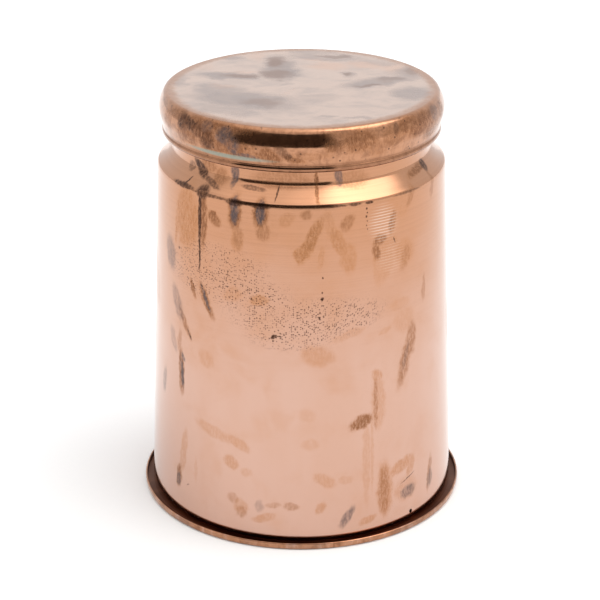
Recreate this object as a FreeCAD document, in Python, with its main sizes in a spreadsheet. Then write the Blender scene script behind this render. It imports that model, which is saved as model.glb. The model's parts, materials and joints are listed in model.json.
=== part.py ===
import FreeCAD, Part
import math
import os

import Sketcher

# The fire can of a bee smoker: a spun copper canister with a press-on lid, standing in a lipped
# copper tray, with a perforated steel liner, a loose grate and a wire bail inside it.
# Millimetres, +Z up, origin at the middle of the tray's underside.

DRIVING_SIZES = {
    "overall_height": (151.5, "underside of the tray to the top of the lid"),
    "copper_sheet": (0.65, "sheet of the lid and shell"),
    "steel_sheet": (0.6, "sheet of the liner, grate, ash pan and lid parts"),
    "strap": (0.8, "strip of the legs and bail ears"),
    "tray_sheet": (0.7, "sheet of the base tray"),
    "lip_radius": (58.5, "outside of the tray's lip"),
    "lip_height": (2.4, "top of the tray's lip"),
    "tray_corner": (0.9, "outside bend at the foot of the lip"),
    "ring_radius": (54.2, "outside of the locating ring"),
    "ring_height": (3.0, "height of the locating ring"),
    "foot_radius": (55.5, "outside of the shell at its foot"),
    "wall_top_radius": (50.8, "outside of the shell under the shoulder"),
    "shoulder_low": (125.2, "height where the wall turns in to the shoulder"),
    "shoulder_pitch": (0.75, "rise of the shoulder's slope for each millimetre inwards"),
    "shoulder_rise": (0.8, "share of a bend's radius it rises between the slope and upright"),
    "shoulder_reach": (0.4, "share of a bend's radius it reaches between the slope and upright"),
    "shoulder_round": (1.3, "outside bend from the wall to the slope"),
    "neck_radius": (45.0, "outside of the neck"),
    "neck_fillet": (2.4, "hollow from the slope up to the neck"),
    "neck_top": (147.6, "top edge of the neck"),
    "neck_band_width": (4.2, "height of the band inside the neck"),
    "draught_radius": (0.75, "draught hole low in the wall"),
    "draught_height": (5.0, "height of the draught hole"),
    "draught_azimuth": (45.0, "degrees from the front towards the right side"),
    "cap_radius": (49.8, "outside of the lid"),
    "cap_corner": (4.6, "bend from the lid's top to its side"),
    "cap_side_low": (141.2, "where the lid's side starts to turn in"),
    "crease_radius": (48.75, "lid just above its rolled hem"),
    "crease_height": (138.5, "where the lid's side runs into the hem"),
    "hem_radius": (47.65, "middle of the rolled hem"),
    "hem_height": (137.8, "middle of the rolled hem"),
    "hem_tube": (1.35, "outside of the rolled hem"),
    "hem_wire": (0.7, "wire inside the rolled hem"),
    "collar_low": (138.3, "lower edge of the lid's collar"),
    "slip_gap": (0.3, "room between parts that slide or lift past each other"),
    "solder_gap": (0.05, "room between soldered or riveted sheets"),
    "wall_drill": (8.0, "length of a drill that goes through one wall"),
    "wall_drill_start": (4.0, "how far inside the wall such a drill starts"),
    "floor_drill": (4.0, "length of a drill that goes through a floor"),
    "floor_drill_start": (2.0, "how far under a floor's top such a drill starts"),
    "ear_straight": (8.6, "height of an ear's straight foot"),
    "ear_step": (2.0, "height over which an ear steps outwards"),
    "ear_step_rise": (0.4, "how much higher the step stands on an ear's inner side"),
    "ear_top_ratio": (3.5, "an ear's top over its pivot, in wire radii"),
    "air_hole_turn": (10.0, "turn of the first air hole from the right, in degrees"),
    "grate_leg_turn": (60.0, "turn of the grate's legs from the liner's legs, in degrees"),
    "loop_turn": (30.0, "turn of the grate's loop from the right, in degrees"),
    "packing_inner": (43.5, "inside of the packing ring"),
    "packing_outer": (45.1, "outside of the packing ring"),
    "heat_plate_radius": (43.0, "outside of the lid's heat plate"),
    "pan_radius": (47.0, "outside of the ash pan"),
    "pan_height": (5.0, "height of the ash pan"),
    "pan_corner": (1.5, "outside bend of the ash pan"),
    "liner_radius": (38.0, "outside of the liner"),
    "liner_low": (9.0, "lower edge of the liner"),
    "liner_top": (105.2, "upper edge of the liner"),
    "floor_height": (11.6, "top of the liner's floor"),
    "rim_wire": (0.9, "wire round the liner's upper edge"),
    "air_hole": (2.0, "air holes in the liner's wall"),
    "air_row_low": (15.0, "lowest row of air holes"),
    "air_row_pitch": (7.0, "step between rows of air holes"),
    "leg_width": (8.0, "width of the liner's and grate's legs"),
    "leg_foot": (6.0, "length of a leg's foot"),
    "leg_top": (23.0, "upper end of the liner's legs"),
    "leg_rivet_height": (19.0, "height of the leg rivets"),
    "ear_width": (10.0, "width of a bail ear"),
    "ear_low": (92.0, "lower end of a bail ear"),
    "ear_jog": (2.55, "how far a bail ear steps out past the rim wire"),
    "ear_rivet_height": (96.0, "height of the ear rivets"),
    "ear_rivet_offset": (2.8, "ear rivets from the ear's middle"),
    "rivet_shank": (1.0, "shank of every rivet"),
    "rivet_head": (1.8, "head of every rivet"),
    "rivet_head_height": (0.7, "height of a rivet's head"),
    "bail_radius": (39.4, "middle of the bail's wire"),
    "bail_wire": (1.0, "wire of the bail"),
    "bail_head": (1.5, "peened end of the bail"),
    "pivot_gap": (0.06, "running room of the bail in its ears"),
    "grate_radius": (36.6, "outside of the grate"),
    "grate_height": (31.6, "top of the grate"),
    "grate_skirt": (3.6, "height of the grate's turned-down edge"),
    "grate_hole": (2.5, "holes in the grate and the liner's floor"),
    "grate_pitch": (9.4, "step between the rings of holes"),
    "loop_radius": (5.2, "half the span of the grate's lifting loop"),
    "loop_wire": (0.8, "wire of the lifting loop"),
    "loop_rise": (6.0, "straight legs of the lifting loop"),
    "small_bend": (1.2, "bends of the grate, floor and heat plate"),
}

HOLE_RINGS = 3
AIR_ROWS = 3
AIR_HOLES_PER_ROW = 18
LEG_COUNT = 3

doc = FreeCAD.newDocument("fire_can")
sheet = doc.addObject("Spreadsheet::Sheet", "size")


class Length:
    """A length that knows its value and the sheet expression that gives it."""

    def __init__(self, value, text):
        self.value = value
        self.text = text

    def __add__(self, other):
        return Length(self.value + number(other), f"({self.text} + {words(other)})")

    def __sub__(self, other):
        return Length(self.value - number(other), f"({self.text} - {words(other)})")

    def __mul__(self, factor):
        return Length(self.value * number(factor), f"({self.text} * {words(factor)})")


def number(item):
    return item.value if isinstance(item, Length) else float(item)


def words(item):
    return item.text if isinstance(item, Length) else f"{item}"


def fill_sheet():
    """Writes the driving sizes and returns each as a Length under its alias."""
    lengths = {}
    for row, (alias, (value, meaning)) in enumerate(DRIVING_SIZES.items(), start=1):
        sheet.set(f"A{row}", meaning)
        sheet.set(f"B{row}", str(value))
        sheet.setAlias(f"B{row}", alias)
        lengths[alias] = Length(value, f"size.{alias}")
    doc.recompute()
    return lengths


D = fill_sheet()
ZERO = Length(0.0, "0")


def bind(item, prop, length):
    """Gives a property its value and ties it to the sheet."""
    setattr(item, prop, number(length))
    if isinstance(length, Length):
        item.setExpression(prop, length.text)


def arc_through(start, end, radius, turn):
    """The short arc from start to end. turn is +1 to run counter-clockwise and -1 clockwise."""
    chord = end - start
    half = chord.Length / 2
    across = FreeCAD.Vector(-chord.y, chord.x, 0).normalize()
    rise = math.sqrt(max(radius * radius - half * half, 0.0))
    centre = (start + end) * 0.5 + across * (rise * turn)
    angles = [math.atan2(p.y - centre.y, p.x - centre.x) for p in (start, end)]
    if turn < 0:
        angles.reverse()
    if angles[1] < angles[0]:
        angles[1] += 2 * math.pi
    circle = Part.Circle(centre, FreeCAD.Vector(0, 0, 1), radius)
    return Part.ArcOfCircle(circle, angles[0], angles[1])


def outline(body, points):
    """A closed sketch on the body's XZ plane, every corner tied to the sheet.

    A point is (x, z), reached by a straight line, or (x, z, radius, turn), reached by an arc.
    """
    sketch = body.newObject("Sketcher::SketchObject", body.Name + "_outline")
    plane = [f for f in body.Origin.OriginFeatures if f.Role == "XZ_Plane"][0]
    sketch.AttachmentSupport = [(plane, "")]
    sketch.MapMode = "FlatFace"
    places = [FreeCAD.Vector(number(p[0]), number(p[1]), 0) for p in points]
    geometry, arrives, leaves = [], [], []
    for index, point in enumerate(points):
        start, end = places[index - 1], places[index]
        forward = True
        if len(point) == 2:
            geometry.append(Part.LineSegment(start, end))
        else:
            geometry.append(arc_through(start, end, number(point[2]), point[3]))
            forward = point[3] > 0
        arrives.append(2 if forward else 1)
        leaves.append(1 if forward else 2)
    sketch.addGeometry(geometry, False)
    constraints, ties = [], []
    for index, point in enumerate(points):
        following = (index + 1) % len(points)
        corner = (index, arrives[index])
        constraints.append(
            Sketcher.Constraint("Coincident", *corner, following, leaves[following])
        )
        for kind, axis, length in (("DistanceX", -2, point[0]), ("DistanceY", -1, point[1])):
            if number(length) == 0:
                constraints.append(Sketcher.Constraint("PointOnObject", *corner, axis))
            else:
                ties.append((len(constraints), length))
                constraints.append(Sketcher.Constraint(kind, -1, 1, *corner, number(length)))
        if len(point) > 2:
            ties.append((len(constraints), point[2]))
            constraints.append(Sketcher.Constraint("Radius", index, number(point[2])))
    sketch.addConstraint(constraints)
    for index, length in ties:
        sketch.setExpression(f"Constraints[{index}]", words(length))
    return sketch


def new_body(name):
    body = doc.addObject("PartDesign::Body", name)
    body.Label = name
    return body


def turned(name, points):
    """A ring or dish: the outline turned about the upright axis."""
    body = new_body(name)
    sketch = outline(body, points)
    turn = body.newObject("PartDesign::Revolution", name + "_turn")
    turn.Profile = sketch
    turn.ReferenceAxis = (sketch, ["V_Axis"])
    turn.Angle = 360
    sketch.Visibility = False
    body.Tip = turn
    return body


def strip(name, points, width):
    """A bent strip: the outline padded both ways from the XZ plane."""
    body = new_body(name)
    pad = body.newObject("PartDesign::Pad", name + "_pad")
    pad.Profile = outline(body, points)
    pad.Midplane = True
    bind(pad, "Length", width)
    body.Tip = pad
    return body


def rod(name, radius, length, place, direction):
    """A straight round bar from a place, along a direction."""
    bar = doc.addObject("Part::Cylinder", name)
    bind(bar, "Radius", radius)
    bind(bar, "Height", length)
    up = FreeCAD.Vector(0, 0, 1)
    bar.Placement = FreeCAD.Placement(place, FreeCAD.Rotation(up, direction))
    return bar


def hoop(name, radius, wire, height, sweep=360):
    """A ring of round wire, or part of one, that lies level."""
    ring = doc.addObject("Part::Torus", name)
    bind(ring, "Radius1", radius)
    bind(ring, "Radius2", wire)
    ring.Angle3 = sweep
    ring.Placement = FreeCAD.Placement(FreeCAD.Vector(0, 0, number(height)), FreeCAD.Rotation())
    return ring


def joined(name, pieces):
    fusion = doc.addObject("Part::MultiFuse", name)
    fusion.Shapes = pieces
    fusion.Refine = True
    fusion.Label = name
    return fusion


def grouped(name, pieces):
    group = doc.addObject("Part::Compound", name)
    group.Links = pieces
    group.Label = name
    return group


def without(name, base, tools):
    """The base with the tools cut out of it. The base passes its name on to the result."""
    tool = tools[0] if len(tools) == 1 else joined(name + "_tools", tools)
    base.Label = name + "_blank"
    cut = doc.addObject("Part::Cut", name + "_cut")
    cut.Base = base
    cut.Tool = tool
    cut.Label = name
    return cut


def turned_about_axis(item, degrees):
    """Swings an item about the upright axis."""
    swing = FreeCAD.Rotation(FreeCAD.Vector(0, 0, 1), degrees)
    item.Placement = FreeCAD.Placement(FreeCAD.Vector(), swing).multiply(item.Placement)
    return item


def spoke(degrees):
    """The level direction at an angle from +X."""
    angle = math.radians(degrees)
    return FreeCAD.Vector(math.cos(angle), math.sin(angle), 0)


def hole_tools(name, radius, low, depth):
    """Upright cutters in rings about the middle, one more ring of six each step out."""
    start = FreeCAD.Vector(0, 0, number(low))
    up = FreeCAD.Vector(0, 0, 1)
    tools = [rod(f"{name}_middle", radius, depth, start, up)]
    for ring in range(1, HOLE_RINGS + 1):
        for step in range(6 * ring):
            place = start + spoke(step * 60 / ring) * (number(D["grate_pitch"]) * ring)
            tools.append(rod(f"{name}_{ring}_{step}", radius, depth, place, up))
    return tools


def rivet(name, inner, outer, height, offset, degrees):
    """A level rivet through the liner's wall, with its heads' undersides at inner and outer."""
    out = FreeCAD.Vector(1, 0, 0)
    start = FreeCAD.Vector(number(inner), number(offset), number(height))
    end = FreeCAD.Vector(number(outer), number(offset), number(height))
    head = D["rivet_head_height"]
    pieces = [
        rod(name + "_shank", D["rivet_shank"], outer - inner, start, out),
        rod(name + "_inner_head", D["rivet_head"], head, start, out * -1),
        rod(name + "_outer_head", D["rivet_head"], head, end, out),
    ]
    return turned_about_axis(joined(name, pieces), degrees)


def rivet_cutter(name, offset, height, degrees):
    """The hole that a rivet passes through, in the wall and in what is riveted to it."""
    start = FreeCAD.Vector(number(D["liner_radius"] - D["wall_drill_start"]), number(offset), number(height))
    cutter = rod(
        name, D["rivet_shank"] + D["solder_gap"], D["wall_drill"], start, FreeCAD.Vector(1, 0, 0)
    )
    return turned_about_axis(cutter, degrees)


def base_tray():
    lip, sheet_t, corner, top = D["lip_radius"], D["tray_sheet"], D["tray_corner"], D["lip_height"]
    edge = sheet_t * 0.5
    return turned(
        "base_tray",
        [
            (ZERO, ZERO),
            (lip - corner, ZERO),
            (lip, corner, corner, 1),
            (lip, top - edge),
            (lip - edge, top, edge, 1),
            (lip - sheet_t, top - edge, edge, 1),
            (lip - sheet_t, corner),
            (lip - corner, sheet_t, corner - sheet_t, -1),
            (ZERO, sheet_t),
        ],
    )


def locating_ring():
    low = D["tray_sheet"]
    outside = D["ring_radius"]
    inside = outside - D["tray_sheet"]
    top = low + D["ring_height"]
    return turned("locating_ring", [(inside, low), (outside, low), (outside, top), (inside, top)])


def ash_pan():
    low, sheet_t, corner = D["tray_sheet"], D["steel_sheet"], D["pan_corner"]
    outside = D["pan_radius"]
    top = low + D["pan_height"]
    return turned(
        "ash_pan",
        [
            (ZERO, low),
            (outside - corner, low),
            (outside, low + corner, corner, 1),
            (outside, top),
            (outside - sheet_t, top),
            (outside - sheet_t, low + corner),
            (outside - corner, low + sheet_t, corner - sheet_t, -1),
            (ZERO, low + sheet_t),
        ],
    )


def shell():
    """The spun body: tapered wall, sloped shoulder and neck in one sheet, with its draught hole."""
    sheet_t, low, neck = D["copper_sheet"], D["shoulder_low"], D["neck_radius"]
    bend, hollow, wall = D["shoulder_round"], D["neck_fillet"], D["wall_top_radius"]
    rise, reach = D["shoulder_rise"], D["shoulder_reach"]
    edge_x, edge_z = wall - bend * reach, low + bend * rise
    root_x = neck + hollow * reach
    root_z = edge_z + (edge_x - root_x) * D["shoulder_pitch"]
    top = root_z + hollow * rise
    inner_bend, inner_hollow = bend - sheet_t, hollow + sheet_t
    inner_edge_x, inner_root_x = wall - sheet_t - inner_bend * reach, neck - sheet_t + inner_hollow * reach
    blank = turned(
        "shell",
        [
            (D["foot_radius"] - sheet_t, D["tray_sheet"]),
            (D["foot_radius"], D["tray_sheet"]),
            (wall, low),
            (edge_x, edge_z, bend, 1),
            (root_x, root_z),
            (neck, top, hollow, -1),
            (neck, D["neck_top"]),
            (neck - sheet_t, D["neck_top"]),
            (neck - sheet_t, top),
            (inner_root_x, top - inner_hollow * rise, inner_hollow, 1),
            (inner_edge_x, low + inner_bend * rise),
            (wall - sheet_t, low, inner_bend, -1),
        ],
    )
    direction = spoke(number(D["draught_azimuth"]) - 90)
    start = direction * number(D["foot_radius"] - D["wall_drill_start"])
    start.z = number(D["draught_height"])
    hole = rod("draught_hole", D["draught_radius"], D["wall_drill"], start, direction)
    return without("shell", blank, [hole])


def neck_band():
    outside = D["neck_radius"] - D["copper_sheet"]
    inside = outside - D["copper_sheet"]
    low = D["neck_top"] - D["neck_band_width"]
    top = D["neck_top"]
    return turned("neck_band", [(inside, low), (outside, low), (outside, top), (inside, top)])


def lid_cap():
    """The spun lid: flat top, rounded corner, side that turns in to a hem rolled round a wire."""
    top, sheet_t, corner = D["overall_height"], D["copper_sheet"], D["cap_corner"]
    outside, crease = D["cap_radius"], D["crease_radius"]
    cap = turned(
        "lid_cap_sheet",
        [
            (ZERO, top - sheet_t),
            (outside - corner, top - sheet_t),
            (outside - sheet_t, top - corner, corner - sheet_t, -1),
            (outside - sheet_t, D["cap_side_low"]),
            (crease - sheet_t, D["crease_height"]),
            (crease, D["crease_height"]),
            (outside, D["cap_side_low"]),
            (outside, top - corner),
            (outside - corner, top, corner, 1),
            (ZERO, top),
        ],
    )
    hem = hoop("lid_cap_hem", D["hem_radius"], D["hem_tube"], D["hem_height"])
    bore = D["hem_wire"] + D["solder_gap"]
    inside = hoop("lid_cap_hem_inside", D["hem_radius"], bore, D["hem_height"])
    return without("lid_cap", joined("lid_cap", [cap, hem]), [inside])


def lid_hem_wire():
    return hoop("lid_hem_wire", D["hem_radius"], D["hem_wire"], D["hem_height"])


def lid_collar():
    """The sleeve that slips over the neck, soldered under the lid's top."""
    inside = D["neck_radius"] + D["slip_gap"]
    outside = inside + D["steel_sheet"]
    top = D["overall_height"] - D["copper_sheet"] - D["solder_gap"] * 2
    low = D["collar_low"]
    return turned("lid_collar", [(inside, low), (outside, low), (outside, top), (inside, top)])


def lid_heat_plate():
    top = D["overall_height"] - D["copper_sheet"]
    return flanged_disc("lid_heat_plate", D["heat_plate_radius"], top, D["small_bend"] * 2)


def flanged_disc(name, outside, top, skirt):
    """A disc whose edge is bent down into a skirt."""
    sheet_t, bend = D["steel_sheet"], D["small_bend"]
    return turned(
        name,
        [
            (ZERO, top - sheet_t),
            (outside - bend, top - sheet_t),
            (outside - sheet_t, top - bend, bend - sheet_t, -1),
            (outside - sheet_t, top - skirt),
            (outside, top - skirt),
            (outside, top - bend),
            (outside - bend, top, bend, 1),
            (ZERO, top),
        ],
    )


def lid_packing_ring():
    low, top = D["neck_top"], D["overall_height"] - D["copper_sheet"]
    inside, outside = D["packing_inner"], D["packing_outer"]
    return turned("lid_packing_ring", [(inside, low), (outside, low), (outside, top), (inside, top)])


def liner_wall():
    """The liner's tube, with rows of air holes, each cutter making two holes across it."""
    outside, low, top = D["liner_radius"], D["liner_low"], D["liner_top"]
    inside = outside - D["steel_sheet"]
    tube = turned("liner_wall", [(inside, low), (outside, low), (outside, top), (inside, top)])
    cutters = []
    pairs = AIR_HOLES_PER_ROW // 2
    for row in range(AIR_ROWS):
        height = number(D["air_row_low"]) + row * number(D["air_row_pitch"])
        for step in range(pairs):
            direction = spoke((step + 0.5 * (row % 2)) * 180 / pairs + number(D["air_hole_turn"]))
            start = direction * (-number(outside) - 2)
            start.z = height
            span = outside * 2 + 4
            cutters.append(rod(f"air_{row}_{step}", D["air_hole"], span, start, direction))
    for index in range(LEG_COUNT):
        name = f"leg_rivet_hole_{index}"
        cutters.append(rivet_cutter(name, ZERO, D["leg_rivet_height"], leg_angle(index)))
    for side, degrees in EARS.items():
        for sign in (-1, 1):
            name = f"ear_rivet_hole_{side}_{sign + 1}"
            offset = D["ear_rivet_offset"] * sign
            cutters.append(rivet_cutter(name, offset, D["ear_rivet_height"], degrees))
    return without("liner_wall", tube, cutters)


def liner_floor():
    outside = D["liner_radius"] - D["steel_sheet"] - D["solder_gap"]
    skirt = D["floor_height"] - D["liner_low"]
    disc = flanged_disc("liner_floor", outside, D["floor_height"], skirt)
    low = D["floor_height"] - 2
    return without("liner_floor", disc, hole_tools("floor", D["grate_hole"], low, D["floor_drill"]))


def liner_rim_wire():
    radius = D["liner_radius"] + D["solder_gap"] + D["rim_wire"]
    return hoop("liner_rim_wire", radius, D["rim_wire"], D["liner_top"] - D["rim_wire"])


def leg_angle(index):
    """Liner legs stand clear of the bail ears, one of them straight back."""
    return 90 + index * 360 / LEG_COUNT


def liner_leg(index):
    inside = D["liner_radius"] + D["solder_gap"]
    low = D["tray_sheet"] + D["steel_sheet"]
    thick = D["strap"]
    name = f"liner_leg_{index + 1}"
    blank = strip(
        name,
        [
            (inside, low),
            (inside + D["leg_foot"], low),
            (inside + D["leg_foot"], low + thick),
            (inside + thick, low + thick),
            (inside + thick, D["leg_top"]),
            (inside, D["leg_top"]),
        ],
        D["leg_width"],
    )
    turned_about_axis(blank, leg_angle(index))
    cutter = rivet_cutter(name + "_hole", ZERO, D["leg_rivet_height"], leg_angle(index))
    return without(name, blank, [cutter])


def leg_rivets():
    inner, outer = rivet_span(ZERO)
    rivets = [
        rivet(f"leg_rivet_{i}", inner, outer, D["leg_rivet_height"], ZERO, leg_angle(i))
        for i in range(LEG_COUNT)
    ]
    return grouped("leg_rivets", rivets)


def rivet_span(offset):
    """Where the heads of a rivet start, clear of the curved wall inside and on the strap outside."""
    reach = number(offset) + number(D["rivet_head"])
    bore = number(D["liner_radius"]) - number(D["steel_sheet"])
    sag = bore - math.sqrt(bore * bore - reach * reach)
    inner = D["liner_radius"] - D["steel_sheet"] - round(sag + 0.02, 2)
    return inner, D["liner_radius"] + D["solder_gap"] + D["strap"]


EARS = {"right": 0, "left": 180}


def pivot_height():
    """The bail lies just clear on top of the liner's rim."""
    return D["liner_top"] + D["slip_gap"] + D["bail_wire"]


def bail_ear(side):
    """A strip riveted under the rim that steps out past the rim wire and stands up to the pivot."""
    inside = D["liner_radius"] + D["solder_gap"]
    thick, jog, low = D["strap"], D["ear_jog"], D["ear_low"]
    top = pivot_height() + D["bail_wire"] * number(D["ear_top_ratio"])
    bend_low = low + D["ear_straight"]
    bend_high, rise = bend_low + D["ear_step"], D["ear_step_rise"]
    name = f"bail_ear_{side}"
    blank = strip(
        name,
        [
            (inside, low),
            (inside + thick, low),
            (inside + thick, bend_low),
            (inside + thick + jog, bend_high),
            (inside + thick + jog, top),
            (inside + jog, top),
            (inside + jog, bend_high + rise),
            (inside, bend_low + rise),
        ],
        D["ear_width"],
    )
    turned_about_axis(blank, EARS[side])
    cutters = []
    for sign in (-1, 1):
        offset = D["ear_rivet_offset"] * sign
        hole = rivet_cutter(f"{name}_hole_{sign + 1}", offset, D["ear_rivet_height"], EARS[side])
        cutters.append(hole)
    start = spoke(EARS[side]) * number(D["bail_radius"])
    start.z = number(pivot_height())
    eye = D["bail_wire"] + D["pivot_gap"]
    cutters.append(rod(name + "_eye", eye, D["floor_drill"], start, spoke(EARS[side])))
    return without(name, blank, cutters)


def ear_rivets():
    rivets = []
    inner, outer = rivet_span(D["ear_rivet_offset"])
    for side, degrees in EARS.items():
        for sign in (-1, 1):
            name = f"ear_rivet_{side}_{sign + 1}"
            offset = D["ear_rivet_offset"] * sign
            rivets.append(rivet(name, inner, outer, D["ear_rivet_height"], offset, degrees))
    return grouped("ear_rivets", rivets)


def bail():
    """Half a hoop whose ends turn out through the ears and are peened over."""
    pieces = [hoop("bail_hoop", D["bail_radius"], D["bail_wire"], pivot_height(), 180)]
    ear_outside = D["liner_radius"] + D["solder_gap"] + D["strap"] + D["ear_jog"]
    head_start = ear_outside + D["slip_gap"]
    for side, degrees in EARS.items():
        out = spoke(degrees)
        corner = out * number(D["bail_radius"])
        corner.z = number(pivot_height())
        knee = doc.addObject("Part::Sphere", f"bail_knee_{side}")
        bind(knee, "Radius", D["bail_wire"])
        knee.Placement = FreeCAD.Placement(corner, FreeCAD.Rotation())
        head_place = out * number(head_start)
        head_place.z = corner.z
        reach = head_start - D["bail_radius"]
        pieces.append(knee)
        pieces.append(rod(f"bail_end_{side}", D["bail_wire"], reach, corner, out))
        pieces.append(
            rod(f"bail_head_{side}", D["bail_head"], D["rivet_head_height"], head_place, out)
        )
    return joined("bail", pieces)


def grate():
    disc = flanged_disc("grate", D["grate_radius"], D["grate_height"], D["grate_skirt"])
    low = D["grate_height"] - D["floor_drill_start"]
    return without("grate", disc, hole_tools("grate_hole", D["grate_hole"], low, D["floor_drill"]))


def grate_leg(index):
    outside = D["grate_radius"] - D["steel_sheet"] - D["slip_gap"]
    thick, low = D["strap"], D["floor_height"]
    top = D["grate_height"] - D["small_bend"]
    leg = strip(
        f"grate_leg_{index + 1}",
        [
            (outside - D["leg_foot"], low),
            (outside, low),
            (outside, top),
            (outside - thick, top),
            (outside - thick, low + thick),
            (outside - D["leg_foot"], low + thick),
        ],
        D["leg_width"],
    )
    return turned_about_axis(leg, leg_angle(index) + number(D["grate_leg_turn"]))


def grate_loop():
    """The wire loop that the grate is lifted by, soldered to its top between holes."""
    radius, wire, rise = D["loop_radius"], D["loop_wire"], D["loop_rise"]
    foot = D["grate_height"]
    up = FreeCAD.Vector(0, 0, 1)
    arch = hoop("grate_loop_arch", radius, wire, ZERO, 180)
    tilt = FreeCAD.Rotation(FreeCAD.Vector(1, 0, 0), 90)
    arch.Placement = FreeCAD.Placement(FreeCAD.Vector(0, 0, number(foot + rise)), tilt)
    pieces = [arch]
    for sign in (-1, 1):
        start = FreeCAD.Vector(sign * number(radius), 0, number(foot))
        pieces.append(rod(f"grate_loop_leg_{sign + 1}", wire, rise, start, up))
    return turned_about_axis(joined("grate_loop", pieces), number(D["loop_turn"]))


def build_all():
    parts = [
        base_tray(),
        locating_ring(),
        ash_pan(),
        shell(),
        neck_band(),
        lid_cap(),
        lid_hem_wire(),
        lid_collar(),
        lid_heat_plate(),
        lid_packing_ring(),
        liner_wall(),
        liner_floor(),
        liner_rim_wire(),
        leg_rivets(),
        ear_rivets(),
        bail(),
        grate(),
        grate_loop(),
    ]
    parts += [liner_leg(index) for index in range(LEG_COUNT)]
    parts += [grate_leg(index) for index in range(LEG_COUNT)]
    parts += [bail_ear(side) for side in EARS]
    return parts


def check_and_write(parts):
    doc.recompute()
    for item in doc.Objects:
        faults = {"Invalid", "Error"} & set(item.State)
        if faults:
            raise RuntimeError(f"{item.Label}: {sorted(faults)}")
    for part in parts:
        if part.Shape.isNull() or not part.Shape.isValid():
            raise RuntimeError(f"{part.Label}: its shape is empty or not valid")
    os.makedirs("parts", exist_ok=True)
    for part in parts:
        part.Shape.exportStep(f"parts/{part.Label}.step")
        solids = len(part.Shape.Solids)
        print(f"{part.Label}: {solids} solid(s), {part.Shape.Volume:.1f} mm3")


check_and_write(build_all())
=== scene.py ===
"""The looks of a bee smoker's copper fire can: spun shell, lid and tray around a steel liner.

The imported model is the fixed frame. The three copper spinnings are turned again here with
their true curves, and every other piece keeps its own shape and gets a worked finish.
"""

import json
import math

import bmesh
import bpy
from mathutils import Matrix, Vector


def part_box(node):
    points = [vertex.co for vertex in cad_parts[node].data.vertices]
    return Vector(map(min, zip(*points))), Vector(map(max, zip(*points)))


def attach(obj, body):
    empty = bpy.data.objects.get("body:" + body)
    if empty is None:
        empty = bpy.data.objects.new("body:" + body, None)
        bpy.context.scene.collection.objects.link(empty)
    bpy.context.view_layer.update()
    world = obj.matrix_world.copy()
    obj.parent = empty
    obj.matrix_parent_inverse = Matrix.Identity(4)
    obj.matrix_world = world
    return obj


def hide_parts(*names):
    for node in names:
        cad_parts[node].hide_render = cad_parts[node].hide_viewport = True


bl_info = {
    "name": "Smoker Fire Can",
    "version": (1, 0, 0),
    "blender": (4, 5, 0),
    "location": "3D View > Sidebar > Fire Can",
    "description": "Turns the copper spinnings of a bee smoker's fire can and finishes every part",
    "category": "Object",
}

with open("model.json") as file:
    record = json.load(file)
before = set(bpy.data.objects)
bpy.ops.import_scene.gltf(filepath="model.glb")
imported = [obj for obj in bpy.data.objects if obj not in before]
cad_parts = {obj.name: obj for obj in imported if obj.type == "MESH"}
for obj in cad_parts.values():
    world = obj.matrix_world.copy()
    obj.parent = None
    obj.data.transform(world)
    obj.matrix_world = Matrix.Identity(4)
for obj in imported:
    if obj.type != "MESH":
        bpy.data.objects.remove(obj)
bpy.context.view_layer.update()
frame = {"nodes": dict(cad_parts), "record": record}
NODES = frame["nodes"]
MM = 0.001
FRONT_REACH = 53.0  # mm round the wall for one radian, at its mean radius
FRONT_SIDE = 82.0  # degrees; the front's finish reaches this far round, and the back's takes over
FLAT = 1e6  # a half size so large that its direction doesn't count
PACKING_REACH = 44.0  # mm round the packing ring for one radian
LID_PLAY = 0.05 * MM  # the turned lid's top stays this far under the box of its CAD node
SWAY_REACH = 0.03  # metres from the axis, from where the sway has its full size
SAME_POINT = 2e-5  # metres; points of an outline that are closer count as one
TURNED_CREASE = math.radians(38)  # sharper edges of the turned pieces stay crisp
KEPT_CREASE = math.radians(32)  # sharper edges of the other pieces stay crisp
DRILL_HALF = 0.003  # metres; half the length of the drill for the draught hole


# ---------------------------------------------------------------- properties


def length(name, description, millimetres):
    """A size in metres, given in millimetres."""
    return bpy.props.FloatProperty(
        name=name, description=description, default=millimetres * MM, unit="LENGTH", precision=5
    )


def metal(name, description, colour):
    """A finish's colour, as the red, green and blue that the bare surface sends back."""
    return bpy.props.FloatVectorProperty(
        name=name, description=description, default=colour, size=3, subtype="COLOR", min=0, max=1
    )


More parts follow.
